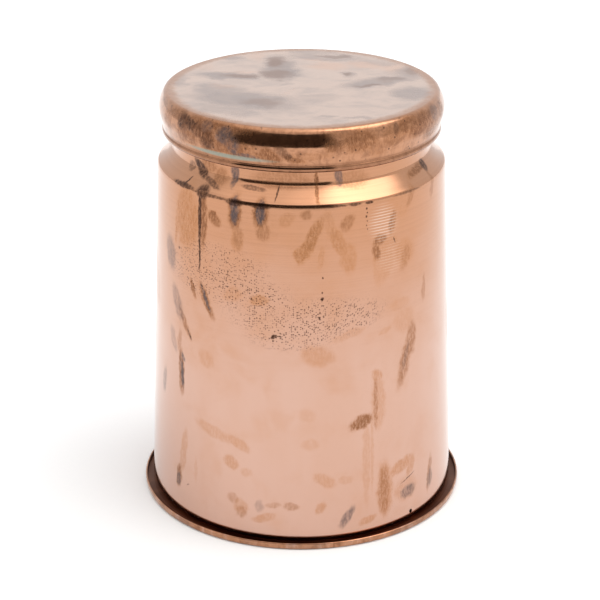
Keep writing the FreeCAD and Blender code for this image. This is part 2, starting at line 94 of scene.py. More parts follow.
class SpinningSizes(bpy.types.PropertyGroup):
    """Curves of the three copper spinnings."""

    sheet: length("Copper sheet", "Thickness of the spun copper", 0.65)
    sway: length("Sway", "How far the hand-spun walls wander from a true circle", 0.035)
    segments: bpy.props.IntProperty(name="Segments", description="Steps round the axis", default=300)
    lid_corner: length("Lid corner", "Radius of the bend round the lid's top", 2.0)
    lid_belly: length("Lid belly", "Radius of the slow curve down the lid's side", 9.5)
    lid_turn: bpy.props.FloatProperty(
        name="Lid turn", description="Slope at which the corner runs into the slow curve",
        default=math.radians(34), subtype="ANGLE",
    )
    lid_side: length("Lid side", "Greatest radius of the lid's side", 49.84)
    crease: length("Crease radius", "Radius of the crease above the hem", 48.6)
    crease_height: length("Crease height", "Height of the crease above the hem", 138.85)
    hem_radius: length("Hem radius", "Radius of the hem's centre", 47.65)
    hem_height: length("Hem height", "Height of the hem's centre", 137.8)
    hem_tube: length("Hem tube", "Outside radius of the rolled hem", 1.35)
    neck: length("Neck radius", "Outside radius of the neck", 45.0)
    fillet: length("Neck fillet", "Radius of the hollow from the slope up to the neck", 3.1)
    shoulder_root: length("Shoulder root", "Height where the slope meets the neck", 129.65)
    shoulder_low: length("Shoulder foot", "Height where the wall turns in to the shoulder", 125.2)
    shoulder_bend: length("Shoulder bend", "Radius of the bend from the wall to the slope", 1.3)
    wall_top: length("Wall top radius", "Radius of the wall just under the shoulder", 50.78)
    tray_sheet: length("Tray sheet", "Thickness of the tray", 0.7)
    tray_corner: length("Tray corner", "Outside radius of the tray's corner", 0.9)
    hole_radius: length("Draught hole", "Radius of the draught hole near the foot", 0.75)
    hole_height: length("Draught hole height", "Height of the draught hole", 5.0)
    hole_azimuth: bpy.props.FloatProperty(
        name="Draught hole side", description="Where the draught hole is, from the front to the right",
        default=math.radians(45), subtype="ANGLE",
    )


class FinishColours(bpy.types.PropertyGroup):
    """Colours of the finishes."""

    copper: metal("Bright copper", "Clean rubbed copper", (0.615, 0.383, 0.298))
    warm: metal("Warmed copper", "Copper with a thin brown film, near the lid", (0.53, 0.252, 0.132))
    orange: metal("Orange film", "Thin stain", (0.53, 0.25, 0.125))
    tan: metal("Tan film", "The edges of thicker stains", (0.43, 0.19, 0.085))
    brown: metal("Brown film", "Thicker stain", (0.23, 0.095, 0.045))
    # Umber also paints the shade line along the shoulder's lower edge.
    umber: metal("Umber", "Burnt drips and dots", (0.055, 0.022, 0.013))
    slate: metal("Slate", "Blue-grey heat tarnish", (0.12, 0.084, 0.080))
    lilac: metal("Lilac grey", "Cloudy film on the lid's top", (0.42, 0.33, 0.30))
    rose: metal("Rose film", "The lid's top between its clouds", (0.74, 0.54, 0.44))
    green: metal("Verdigris", "Green line over the hem", (0.26, 0.29, 0.24))
    gutter: metal("Gutter film", "Baked brown film inside the tray", (0.10, 0.036, 0.018))
    brass: metal("Brass", "Rolled brass bands", (0.72, 0.50, 0.22))
    tin: metal("Tinplate", "Tinned steel sheet", (0.62, 0.61, 0.59))
    steel: metal("Liner steel", "Rolled steel of the liner", (0.45, 0.44, 0.43))
    straw: metal("Straw tint", "Heat tint nearest the fire's edge", (0.52, 0.36, 0.17))
    peacock: metal("Blue tint", "Heat tint further in", (0.13, 0.16, 0.27))
    soot: metal("Soot", "Smoke black", (0.012, 0.010, 0.009))
    iron: metal("Iron wire", "Annealed iron wire", (0.16, 0.15, 0.145))
    rust: metal("Rust", "Brown bloom on iron", (0.20, 0.075, 0.03))
    packing: metal("Packing", "Woven glass-fibre rope", (0.62, 0.58, 0.50))
    # Painted highlight: the near-white colour laid on the crests of the wall's ripples.
    painted_ripple_highlight: metal("Gleam", "Crests of the ripples in the wall", (0.95, 0.84, 0.76))
    salmon: metal("Salmon film", "Warm patches on the lid's top", (0.78, 0.47, 0.33))
    cloud: metal("Cloud brown", "Hearts of the clouds on the lid's top", (0.33, 0.20, 0.15))
    spangle: metal("Spangle", "Darker crystals of the sheet steel", (0.36, 0.36, 0.37))
    scale: metal("Wire scale", "Scale on annealed wire", (0.07, 0.065, 0.065))
    worn_wire: metal("Worn wire", "Wire rubbed bright", (0.42, 0.40, 0.38))
    # Painted shade in the rivets' hollows and a painted highlight on their crowns.
    rivet_hollow_shade: metal("Rivet dents", "Hollows of the hammered rivets", (0.10, 0.095, 0.09))
    rivet_crown_highlight: metal("Rivet crowns", "Crowns of the hammered rivets", (0.34, 0.33, 0.32))
    tarnish: metal("Brass tarnish", "Brown film on the brass", (0.27, 0.15, 0.06))
    worn_brass: metal("Worn brass", "Brass rubbed bright", (0.85, 0.68, 0.38))
    # Painted shade: the dark colour laid between the packing's strands.
    gap: metal("Packing gaps", "Between the packing's strands", (0.16, 0.13, 0.10))
    singe: metal("Singed packing", "Singed strands", (0.20, 0.13, 0.08))
    fibre: metal("Packing fibre", "Clean fibres on the strands", (0.80, 0.77, 0.70))
    floor: metal("Floor", "Pale studio floor", (0.94, 0.94, 0.94))
    floor_grain: metal("Floor grain", "The floor's slightly darker patches", (0.925, 0.925, 0.93))
    lamp: metal("Lamp light", "The room's light from the front", (1.0, 0.985, 0.965))
    daylight: metal("Daylight", "The room's light from behind", (0.96, 0.98, 1.0))
    cloth: metal("Curtain", "The dark curtain's cloth", (0.03, 0.02, 0.015))
    nap: metal("Curtain nap", "The lighter nap of the curtain", (0.06, 0.045, 0.035))


class StudioSizes(bpy.types.PropertyGroup):
    """Camera and light."""

    camera_distance: length("Camera distance", "From the camera to the point it looks at", 738.7)
    camera_lift: bpy.props.FloatProperty(
        name="Camera elevation", description="How far above the horizon the camera stands",
        default=math.radians(23.1), subtype="ANGLE",
    )
    aim_height: length("Aim height", "Height of the point the camera looks at", 70.5)
    aim_side: length("Aim side", "How far to the left of the axis the camera looks", 0.55)
    lens: bpy.props.FloatProperty(
        name="Lens", description="Focal length, in millimetres", default=121.8, unit="CAMERA"
    )
    floor_radius: length("Floor radius", "Radius of the pale floor", 3200)
    sky: bpy.props.FloatProperty(name="Room", description="Brightness of the white room", default=0.95)
    overhead: bpy.props.FloatProperty(
        name="Overhead", description="Extra brightness of the white ceiling", default=0.4
    )
    soft_box: bpy.props.FloatProperty(
        name="Soft box", description="Extra brightness of the stronger soft box", default=2.2
    )
    flag_distance: length("Flag distance", "From the axis to the dark curtain", 560)
    flag_low: length("Flag bottom", "Height of the dark curtain's lower edge", 24)
    flag_high: length("Flag top", "Height of the dark curtain's upper edge", 600)
    flag_left: bpy.props.FloatProperty(
        name="Flag left", description="How far round the dark curtain reaches to the left",
        default=math.radians(54), subtype="ANGLE",
    )
    flag_right: bpy.props.FloatProperty(
        name="Flag right", description="How far round the dark curtain reaches to the right",
        default=math.radians(25), subtype="ANGLE",
    )


# ---------------------------------------------------------------- shader words


class Signal:
    """One output socket; arithmetic on it adds Math nodes to the same tree."""

    def __init__(self, paint, socket):
        self.paint, self.socket = paint, socket

    def maths(self, operation, *others):
        made = self.paint.node("ShaderNodeMath", {"operation": operation}, dict(enumerate((self, *others))))
        return made[0]

    def __add__(self, other):
        return self.maths("ADD", other)

    __radd__ = __add__

    def __sub__(self, other):
        return self.maths("SUBTRACT", other)

    def __rsub__(self, other):
        return (self * -1.0).maths("ADD", other)

    def __mul__(self, other):
        return self.maths("MULTIPLY", other)

    __rmul__ = __mul__

    def most(self, other):
        return self.maths("MAXIMUM", other)

    def least(self, other):
        return self.maths("MINIMUM", other)


class Made:
    """A node that has been added; its outputs are read by number or name as signals."""

    def __init__(self, paint, item):
        self.paint, self.item = paint, item

    def __getitem__(self, key):
        return Signal(self.paint, self.item.outputs[key])


class Paint:
    """A node tree with the few calls that the finishes are written in."""

    def __init__(self, tree):
        self.tree = tree
        tree.nodes.clear()

    def node(self, kind, settings=None, values=None):
        """Adds a node: its settings first, then a value or link for each named or numbered socket."""
        item = self.tree.nodes.new(kind)
        for key, value in (settings or {}).items():
            setattr(item, key, value)
        for key, value in (values or {}).items():
            if isinstance(value, Signal):
                self.tree.links.new(value.socket, item.inputs[key])
            else:
                item.inputs[key].default_value = value
        return Made(self, item)

    def place(self):
        """Object coordinates in millimetres, as a vector and as its three numbers."""
        where = self.node("ShaderNodeTexCoord")["Object"]
        scaled = self.node("ShaderNodeVectorMath", {"operation": "SCALE"}, {0: where, "Scale": 1000.0})[0]
        parts = self.node("ShaderNodeSeparateXYZ", values={0: scaled})
        return scaled, parts[0], parts[1], parts[2]

    def vector(self, x, y, z):
        return self.node("ShaderNodeCombineXYZ", values={0: x, 1: y, 2: z})[0]

    def stretched(self, vector, x, y, z):
        return self.node("ShaderNodeVectorMath", {"operation": "MULTIPLY"}, {0: vector, 1: (x, y, z)})[0]

    def noise(self, vector, scale, detail=3.0, rough=0.5, twist=0.0):
        values = {"Vector": vector, "Scale": scale, "Detail": detail, "Roughness": rough, "Distortion": twist}
        return self.node("ShaderNodeTexNoise", {"noise_dimensions": "3D"}, values)["Fac"]

    def cells(self, vector, scale, scatter=1.0):
        """Random cells: distance to the nearest centre, and a random number for each cell."""
        values = {"Vector": vector, "Scale": scale, "Randomness": scatter}
        made = self.node("ShaderNodeTexVoronoi", {"feature": "F1"}, values)
        chance = self.node("ShaderNodeSeparateColor", values={0: made["Color"]})[0]
        return made["Distance"], chance

    def fade(self, value, start, end, low=0.0, high=1.0):
        """Goes smoothly from low at start to high at end."""
        values = {"Value": value, "From Min": start, "From Max": end, "To Min": low, "To Max": high}
        return self.node("ShaderNodeMapRange", {"interpolation_type": "SMOOTHSTEP"}, values)[0]

    def blend(self, amount, first, second):
        """Mixes two colours."""
        values = {0: amount, 6: opaque(first), 7: opaque(second)}
        return self.node("ShaderNodeMix", {"data_type": "RGBA"}, values)[2]

    def spots(self, plane, spots, soft=0.3, after=0.0):
        """The strongest at each point of several soft-edged ovals on a plane given by two signals.

        The strength so far goes in as a third, flattened coordinate, so that the ovals are
        worked out one after another and the renderer never holds many of them at once.
        """
        total, strongest = after, None
        for across, up, half_across, half_up, tilt, strength in spots:
            local = self.node(
                "ShaderNodeMapping", {"vector_type": "TEXTURE"},
                {
                    "Vector": self.vector(*plane, total), "Location": (across, up, 0),
                    "Rotation": (0, 0, math.radians(tilt)), "Scale": (half_across, half_up, FLAT),
                },
            )[0]
            away = self.node("ShaderNodeVectorMath", {"operation": "LENGTH"}, {0: local})["Value"]
            mask = self.fade(away, 1 + soft, 1 - soft, 0.0, strength)
            strongest = mask if strongest is None else strongest.most(mask)
            total = strongest
        return strongest

    def ragged(self, plane, where, reach, scale):
        """The plane's two signals shaken by noise, for edges that wander by about reach."""
        values = {"Vector": where, "Scale": scale, "Detail": 4.0, "Roughness": 0.62}
        shake = self.node("ShaderNodeTexNoise", {"noise_dimensions": "3D"}, values)["Color"]
        parts = self.node("ShaderNodeSeparateColor", values={0: shake})
        return tuple(axis + (parts[i] - 0.5) * (2 * reach) for i, axis in enumerate(plane))


def opaque(colour):
    """A colour with its alpha, unless it is already a signal."""
    return colour if isinstance(colour, Signal) else (*tuple(colour)[:3], 1.0)


class Finish(Paint):
    """A metal or fibre finish: a node tree that ends in one principled shader."""

    def __init__(self, name, **uniform):
        self.material = bpy.data.materials.new(name)
        self.material.use_nodes = True
        super().__init__(self.material.node_tree)
        self.shader = self.node("ShaderNodeBsdfPrincipled", values=uniform)
        self.node("ShaderNodeOutputMaterial", values={"Surface": self.shader[0]})

    def wear(self, **sockets):
        """Links what varies over the surface; the socket's words are joined with underscores."""
        for key, value in sockets.items():
            socket = self.shader.item.inputs[key.replace("_", " ")]
            if isinstance(value, Signal):
                self.tree.links.new(value.socket, socket)
            else:
                socket.default_value = value
        return self.material

    def relief(self, height, depth, strength):
        """A bump from a height signal; depth is in millimetres."""
        values = {"Height": height, "Distance": depth * MM, "Strength": strength}
        return self.node("ShaderNodeBump", values=values)["Normal"]


# ---------------------------------------------------------------- copper

# Each mark on the wall is (degrees from the front towards the right, height, half width,
# half height, tilt in degrees, strength); lengths are in millimetres.
# Dark drips, and a painted shade line along the shoulder's lower edge: the thin, wide marks at 125 to 126 mm.
DRIPS_AND_SHOULDER_SHADE = [
    (-42.4, 117.0, 0.75, 10.5, 0, 0.95), (-42.2, 104.0, 0.42, 6.5, 0, 0.95),
    (-26.2, 125.2, 3.4, 1.2, 0, 0.7), (-15.6, 125.1, 3.6, 1.1, 0, 0.7), (-41.5, 126.0, 2.8, 2.2, 0, 0.8),
    (-38.0, 125.6, 8.0, 0.6, 0, 0.6), (-20.0, 125.3, 9.0, 0.5, 0, 0.6), (12.5, 125.3, 4.6, 0.45, 0, 0.6),
    (20.5, 125.3, 2.4, 0.5, 0, 0.7), (26.4, 125.2, 1.6, 0.5, 0, 0.8), (-53.0, 126.0, 6.0, 0.8, 0, 0.8),
    (45.0, 125.4, 7.0, 0.4, 0, 0.45), (0.0, 125.3, 5.0, 0.4, 0, 0.4),
]
DRIPS_BROWN = [
    (-40.6, 117.0, 1.9, 10.0, 0, 0.97), (-26.1, 121.5, 2.6, 5.8, 0, 0.97), (-15.7, 122.0, 2.8, 5.4, 0, 0.97),
    (-24.6, 113.0, 1.9, 4.2, 0, 0.54), (-14.6, 116.0, 2.6, 3.2, 0, 0.6), (-35.2, 117.9, 3.2, 2.2, -35, 0.9),
    (-35.6, 120.0, 1.4, 1.0, 0, 0.96), (1.6, 122.6, 2.0, 1.5, 0, 0.6), (17.4, 119.0, 2.3, 3.4, -35, 0.66),
    (36.6, 116.5, 1.5, 4.2, -14, 0.72), (30.6, 111.2, 3.0, 2.0, 25, 0.84), (29.3, 107.2, 1.6, 3.0, 12, 0.84),
    (43.2, 102.6, 2.2, 4.8, -20, 0.42), (46.5, 124.0, 1.6, 4.2, -24, 0.54), (61.5, 124.0, 1.3, 4.6, -18, 0.6),
    (-45.9, 90.6, 1.0, 3.6, 24, 0.96), (-38.6, 87.4, 1.7, 6.4, 27, 0.97), (-50.5, 76.6, 1.3, 6.2, 32, 0.72),
    (-52.4, 57.6, 1.6, 8.4, 3, 0.9), (-53.6, 69.0, 1.2, 4.6, -6, 0.48), (42.6, 64.5, 2.4, 9.5, -17, 0.66),
    (46.2, 72.0, 2.3, 6.0, -6, 0.66), (22.4, 45.6, 4.4, 2.5, 26, 0.9), (28.6, 52.0, 0.9, 9.5, 0, 0.6),
    (32.0, 17.5, 2.3, 9.5, 0, 0.6), (-53.2, 16.2, 1.5, 4.6, -6, 0.84), (-26.0, 15.8, 1.8, 2.0, 30, 0.42),
    (-22.6, 11.2, 2.0, 2.4, 0, 0.48), (-10.5, 15.4, 2.6, 1.0, 12, 0.42), (-3.8, 15.4, 2.6, 1.5, 0, 0.5),
    (57.0, 16.0, 1.3, 6.6, -10, 0.66), (54.0, 88.5, 1.2, 5.0, -4, 0.48), (6.2, 131.0, 0.8, 5.4, 0, 0.96),
    (118.0, 96.0, 3.2, 12.0, -12, 0.66), (141.0, 117.0, 1.8, 9.5, 0, 0.96),
    (-118.0, 118.0, 1.9, 8.0, 0, 0.97), (-131.0, 74.0, 2.6, 10.0, 20, 0.72),
    (-96.0, 40.0, 3.0, 6.0, -20, 0.66), (164.0, 56.0, 4.2, 2.6, 20, 0.84),
    (101.0, 24.0, 2.0, 8.0, 0, 0.72), (-160.0, 20.0, 4.6, 2.4, 15, 0.66), (179.0, 104.0, 3.0, 6.0, 30, 0.54),
]
STAINS_ORANGE = [
    (-49.5, 116.0, 6.5, 11.0, 0, 0.95), (-56.0, 113.0, 1.4, 9.0, -8, 0.9), (-50.5, 107.0, 4.0, 2.0, 20, 0.8),
    (-25.2, 112.0, 2.6, 4.0, 0, 0.56), (3.4, 113.6, 2.3, 8.8, -27, 1.0), (-0.6, 108.6, 2.3, 2.6, 0, 0.9),
    (0.6, 109.0, 2.4, 3.6, -20, 0.56), (10.6, 118.6, 2.0, 6.0, 12, 0.43), (14.0, 112.4, 2.4, 6.5, 24, 0.75),
    (17.8, 106.6, 3.0, 5.6, 4, 0.65), (7.4, 107.5, 1.1, 4.0, -8, 0.44), (-5.6, 120.8, 3.2, 2.2, 25, 0.53),
    (35.0, 108.0, 3.6, 5.0, -30, 0.47), (30.0, 102.6, 2.0, 7.6, 0, 0.38), (34.0, 101.5, 2.6, 6.0, -24, 0.4),
    (42.6, 105.0, 5.0, 4.6, -15, 0.56), (40.0, 122.0, 6.0, 5.0, 0, 0.38), (-16.0, 91.6, 3.2, 2.0, 10, 0.69),
    (-27.0, 92.5, 3.4, 2.6, 20, 0.44), (-38.5, 66.0, 3.0, 3.4, 40, 0.38), (6.0, 72.0, 6.0, 3.6, -10, 0.44),
    (-35.0, 39.6, 8.0, 2.2, -14, 0.4), (-24.0, 37.4, 4.6, 2.0, -28, 0.45), (-27.0, 29.4, 3.0, 2.4, -30, 0.53),
    (-20.6, 26.8, 2.0, 1.6, 0, 0.31), (8.6, 25.0, 4.2, 2.2, -32, 0.43), (16.5, 24.6, 2.6, 1.6, 0, 0.28),
    (29.8, 52.0, 2.8, 10.0, 0, 0.4), (29.4, 62.0, 2.2, 2.4, 0, 0.56), (32.4, 17.6, 3.2, 10.5, 0, 0.56),
    (40.2, 24.6, 5.6, 2.4, 22, 0.62), (45.2, 23.2, 1.6, 4.2, -20, 0.5), (42.5, 15.0, 5.2, 4.6, 0, 0.38),
    (24.6, 30.0, 1.5, 16.0, 0, 0.31), (27.0, 34.0, 0.6, 15.0, 0, 0.31), (-50.4, 27.0, 1.8, 9.0, -8, 0.45),
    (-14.0, 10.0, 4.2, 1.6, 18, 0.5), (7.0, 14.6, 1.4, 2.6, -24, 0.53), (25.0, 7.4, 3.2, 1.4, 14, 0.56),
    (-23.0, 13.4, 2.6, 3.0, 0, 0.44), (-43.5, 22.0, 0.8, 5.0, 0, 0.25), (40.6, 86.0, 4.6, 2.2, 0, 0.28),
    (42.5, 80.0, 4.6, 5.0, 0, 0.3), (33.0, 78.0, 3.0, 1.2, 20, 0.31), (18.0, 79.0, 6.0, 1.4, 18, 0.31),
    (3.0, 39.0, 3.0, 2.0, 0, 0.28), (2.0, 50.0, 3.0, 2.4, 0, 0.2), (-12.0, 118.0, 4.0, 5.0, 0, 0.25),
    (105.0, 112.0, 9.0, 8.0, 20, 0.44), (-100.0, 104.0, 9.0, 7.0, 0, 0.5), (150.0, 84.0, 5.0, 9.0, -20, 0.44),
    (-150.0, 110.0, 6.0, 7.0, 20, 0.5), (128.0, 44.0, 8.0, 3.0, 10, 0.44), (-118.0, 30.0, 4.0, 8.0, 0, 0.44),
    (175.0, 30.0, 5.0, 5.0, 0, 0.44), (-172.0, 72.0, 3.6, 8.0, -20, 0.5), (82.0, 66.0, 4.0, 9.0, 10, 0.44),
    (-78.0, 84.0, 4.0, 10.0, 15, 0.5), (92.0, 18.0, 6.0, 3.0, 15, 0.5), (-140.0, 46.0, 3.0, 3.0, 0, 0.44),
]
SMEARS_SLATE = [
    (-26.2, 122.2, 1.5, 4.6, 0, 1.0), (-15.6, 122.6, 1.5, 4.0, 0, 1.0), (-61.0, 99.4, 3.4, 6.0, 14, 0.5),
    (-38.9, 88.4, 0.8, 5.0, 27, 0.85), (-55.4, 82.4, 2.6, 6.6, 26, 0.42), (-51.9, 56.6, 0.9, 5.0, 6, 0.85),
    (-51.2, 63.0, 0.8, 1.8, 30, 0.7), (-65.6, 49.4, 1.6, 5.2, -8, 0.45), (-53.4, 14.8, 1.2, 2.6, 0, 0.6),
    (43.8, 13.6, 3.4, 2.3, 12, 0.6), (57.4, 13.6, 1.5, 3.4, -14, 0.45), (17.0, 10.0, 1.5, 4.4, -32, 0.62),
    (-15.6, 14.6, 1.5, 2.2, 0, 0.28), (-58.0, 68.0, 1.8, 4.6, 20, 0.3), (43.0, 66.0, 1.0, 5.0, -16, 0.3),
    (-117.6, 118.5, 0.9, 5.0, 0, 0.9), (164.0, 56.0, 2.4, 1.4, 20, 0.5), (-131.4, 75.0, 1.2, 6.0, 20, 0.6),
    (120.0, 70.0, 2.2, 6.0, 12, 0.45), (84.0, 100.0, 3.0, 7.0, 10, 0.35), (-84.0, 60.0, 2.4, 6.0, -10, 0.4),
]
PIN_DOTS = [
    (7.9, 100.3, 0.30, 0.45, 0, 0.9), (7.7, 92.8, 0.55, 0.65, 0, 1.0), (7.7, 95.0, 0.2, 0.4, 0, 0.7),
    (6.8, 87.8, 0.25, 0.4, 0, 0.8), (6.6, 86.0, 0.4, 0.55, 0, 0.9), (-10.4, 78.9, 1.1, 0.7, 25, 0.9),
    (-8.4, 79.2, 0.9, 0.25, -8, 0.8), (25.2, 123.2, 0.4, 0.35, 0, 0.85), (25.3, 121.8, 0.25, 0.3, 0, 0.8),
    (25.2, 120.4, 0.3, 0.4, 0, 0.85), (25.4, 118.8, 0.25, 0.3, 0, 0.8), (25.2, 117.4, 0.2, 0.3, 0, 0.7),
    (25.5, 116.0, 0.2, 0.4, 0, 0.6), (-47.6, 14.6, 0.7, 0.2, 30, 0.7), (43.6, 18.8, 3.4, 0.2, 22, 0.85),
    (37.6, 110.0, 0.25, 1.2, 20, 0.7), (-54.6, 103.0, 0.5, 0.6, 0, 0.7), (-47.6, 72.8, 0.4, 2.2, 32, 0.7),
    (-52.0, 127.2, 0.4, 1.8, -30, 0.8), (-9.8, 129.0, 0.3, 2.4, -12, 0.8), (-60.6, 147.0, 0.3, 2.6, 10, 0.8),
]
LID_BLACK = [
    (-39.5, 144.6, 3.4, 3.0, 0, 0.75), (-53.5, 147.6, 3.6, 2.4, 0, 0.9),
    (-50.0, 148.4, 5.6, 2.0, -14, 0.95), (-45.0, 147.2, 3.0, 2.4, -20, 0.75),
    (-6.6, 143.6, 3.6, 1.5, -38, 0.55), (39.4, 148.6, 1.3, 1.6, 0, 0.55),
    (110.0, 147.6, 5.0, 2.2, 0, 0.8), (-130.0, 147.0, 6.0, 2.0, 0, 0.8),
]
NECK_BLACK = [
    (-48.6, 132.0, 5.0, 1.7, -26, 0.9), (-55.0, 131.5, 2.4, 1.6, 0, 0.5),
    (-20.0, 129.6, 5.0, 0.7, -3, 0.5), (-40.0, 129.0, 5.0, 0.8, -14, 0.6),
    (64.0, 129.8, 2.2, 1.6, 25, 0.75), (150.0, 132.0, 6.0, 2.0, 0, 0.7),
]
LID_SLATE = [
    (-31.0, 147.4, 3.6, 3.0, 0, 0.9), (-27.0, 145.0, 2.6, 3.6, 0, 0.78),
    (-40.0, 149.0, 3.0, 2.0, 0, 0.48), (-21.6, 141.4, 4.6, 0.9, -4, 0.72),
    (66.0, 148.6, 3.2, 2.6, 0, 0.54), (160.0, 146.0, 7.0, 3.2, 0, 0.72),
    (-95.0, 145.6, 5.0, 3.0, 0, 0.72),
]
NECK_SLATE = [
    (-29.6, 132.8, 1.7, 3.6, 0, 0.8), (15.9, 133.4, 1.6, 3.0, 0, 0.7),
]
LID_BROWN = [
    (-39.5, 145.0, 4.6, 3.8, 0, 1.0), (-50.0, 143.6, 5.0, 2.6, 0, 0.9), (-12.0, 142.6, 4.2, 2.2, -30, 1.0),
    (-3.0, 141.4, 4.4, 1.2, -14, 0.9), (53.0, 146.6, 7.0, 3.4, 8, 1.0), (62.0, 143.6, 6.0, 3.4, 0, 0.9),
    (43.5, 148.0, 2.8, 2.6, 0, 0.95), (12.6, 146.0, 4.0, 2.4, 0, 0.9), (74.0, 147.0, 5.0, 3.0, 0, 0.9),
    (-34.0, 150.0, 17.0, 1.8, 0, 0.9), (-58.0, 149.6, 8.0, 1.8, 0, 0.75), (-30.0, 143.6, 12.0, 2.6, 0, 0.9),
    (-66.0, 146.0, 4.0, 4.0, 0, 0.75), (14.0, 149.4, 6.0, 0.9, 0, 0.45), (38.0, 146.0, 5.0, 3.6, 0, 0.6),
    (66.0, 145.0, 8.0, 4.6, 0, 0.75), (2.0, 142.6, 10.0, 1.4, 0, 0.45),
    (23.0, 146.6, 7.0, 3.8, 0, 0.9), (30.5, 143.0, 4.0, 3.0, 0, 0.52), (58.0, 148.6, 6.0, 2.2, 0, 0.92),
    (47.0, 149.8, 5.5, 1.3, 0, 0.9), (-41.5, 146.4, 3.2, 3.6, 0, 0.9),
    (-36.6, 143.6, 3.0, 3.0, 0, 0.83), (-14.0, 142.0, 5.0, 1.6, -10, 0.83),
    (-22.0, 144.6, 5.0, 1.8, 0, 0.75), (-54.0, 144.0, 3.6, 3.2, 0, 0.75), (90.0, 144.0, 8.0, 4.0, 0, 0.9),
    (130.0, 143.0, 7.0, 3.6, 0, 0.75), (-110.0, 143.6, 8.0, 3.6, 0, 0.9),
    (-155.0, 145.0, 8.0, 4.0, 0, 0.9),
]
NECK_BROWN = [
    (57.8, 129.8, 7.6, 1.2, 8, 0.9), (-44.0, 133.6, 5.0, 2.2, 0, 0.75),
    (-36.6, 131.4, 3.6, 3.2, 0, 0.69), (-8.0, 133.0, 12.0, 3.0, 0, 0.5),
    (22.0, 132.0, 7.0, 3.0, 0, 0.5), (100.0, 131.6, 9.0, 2.6, 0, 0.62),
    (-100.0, 131.0, 9.0, 2.4, 0, 0.69), (180.0, 131.6, 9.0, 2.4, 0, 0.62),
]

WATER_MARKS = [
    (-44.0, 97.0, 14.0, 7.5, -8, 0.9), (-24.0, 94.5, 20.0, 8.0, -12, 0.95), (2.0, 86.0, 26.0, 6.0, 2, 0.95),
    (-4.0, 79.0, 14.0, 4.6, 0, 0.95), (16.0, 83.5, 16.0, 4.6, 14, 0.85), (-32.0, 104.0, 16.0, 5.0, -6, 0.75),
]
VERDIGRIS = [(-31.0, 140.4, 17.0, 0.75, 0, 0.85), (-160.0, 140.4, 20.0, 0.8, 0, 0.7)]
RIDGES = [(32.6, 117.0, 5.0, 5.6, 0, 1.0), (36.0, 104.0, 5.0, 5.0, 0, 0.4)]

# Clouds on the lid's top are (to the right, to the back, half width, half depth, tilt, strength).
TOP_LILAC = [
    (-7.6, 21.0, 6.2, 13.5, 6, 0.95), (-25.0, 12.4, 11.5, 4.0, -3, 0.85), (-19.5, -16.0, 19.0, 9.5, -22, 0.9),
    (-29.5, -4.0, 9.0, 6.0, -10, 0.7), (-25.0, -27.0, 11.0, 5.0, -30, 0.55), (27.0, 5.0, 13.5, 4.6, 24, 0.85),
    (40.0, 16.5, 7.0, 7.0, 10, 0.7), (38.5, -9.0, 7.5, 7.5, 30, 0.75), (17.0, 14.6, 3.6, 3.4, -30, 0.75),
    (-23.6, 34.6, 4.4, 2.6, 10, 0.6), (9.0, 35.6, 13.0, 4.0, -8, 0.65), (-43.0, 7.0, 3.6, 7.0, 0, 0.6),
    (19.5, -35.6, 5.0, 1.8, 0, 0.6), (10.0, -33.6, 3.0, 1.4, 0, 0.5), (4.0, -14.0, 9.0, 5.0, 14, 0.35),
    (-4.6, 3.4, 2.6, 1.6, 0, 0.35), (4.0, 42.0, 8.0, 3.0, 0, 0.5), (28.0, 30.0, 8.0, 4.0, -20, 0.35),
]
TOP_DEEP = [
    (-8.6, 14.0, 4.4, 4.8, 6, 0.8), (-9.0, 30.0, 3.6, 6.0, 0, 0.85), (-21.0, 12.6, 6.4, 2.3, -4, 0.8),
    (24.0, 0.6, 4.6, 1.5, 10, 0.75), (31.0, 8.0, 4.0, 2.4, 24, 0.52), (16.6, 14.6, 2.2, 2.0, -30, 0.75),
    (-13.6, -19.0, 6.0, 4.4, -20, 0.6), (12.0, 37.0, 5.6, 1.6, -8, 0.68), (40.4, 17.4, 3.0, 4.0, 20, 0.6),
]
TOP_SALMON = [
    (10.0, 25.0, 7.0, 5.0, 0, 0.6), (23.0, 26.0, 7.0, 4.0, -10, 0.6), (32.0, 22.0, 5.0, 6.0, 20, 0.5),
    (-28.0, 0.4, 3.4, 2.2, 0, 0.55), (6.0, 33.0, 6.0, 2.0, -8, 0.5), (36.0, 33.0, 3.0, 3.0, 0, 0.5),
    (-20.6, 16.6, 8.0, 1.2, 0, 0.35), (-16.0, 37.0, 2.0, 6.0, 0, 0.3), (-36.0, 24.0, 4.0, 5.0, 0, 0.25),
]

# Each soft box is (its direction, its edge and its bright heart in degrees from it, its share of the light).
SOFT_BOXES = [((0.52, -0.08, 0.85), 28, 12, 1.0), ((0.22, -0.18, 0.96), 24, 10, 0.15)]

# The shell's zones are (lowest, highest, on the front), in millimetres.
SHELL_ZONES = {
    "foot": (-1.0, 36.0, True),
    "waist": (36.0, 80.0, True),
    "breast": (80.0, 110.0, True),
    "shoulder": (110.0, 200.0, True),
    "back_low": (-1.0, 80.0, False),
    "back_high": (80.0, 200.0, False),
}


def round_the_wall(marks):
    """Marks given by angle and height, with the angle turned into a length round the wall."""
    return [(math.radians(turn) * FRONT_REACH, *rest) for turn, *rest in marks]


def within(marks, zone):
    """The marks that reach into a zone: its lowest and highest point, and whether it is on the front."""
    low, high, front = zone
    kept = []
    for mark in marks:
        reach = 1.5 * math.hypot(mark[2], mark[3]) + 3.0
        turn = abs((mark[0] + 180) % 360 - 180)
        swing = math.degrees(reach / FRONT_REACH)
        on_side = turn - swing < FRONT_SIDE if front else turn + swing > FRONT_SIDE
        if mark[1] + reach > low and mark[1] - reach < high and on_side:
            kept.append(mark)
    return kept


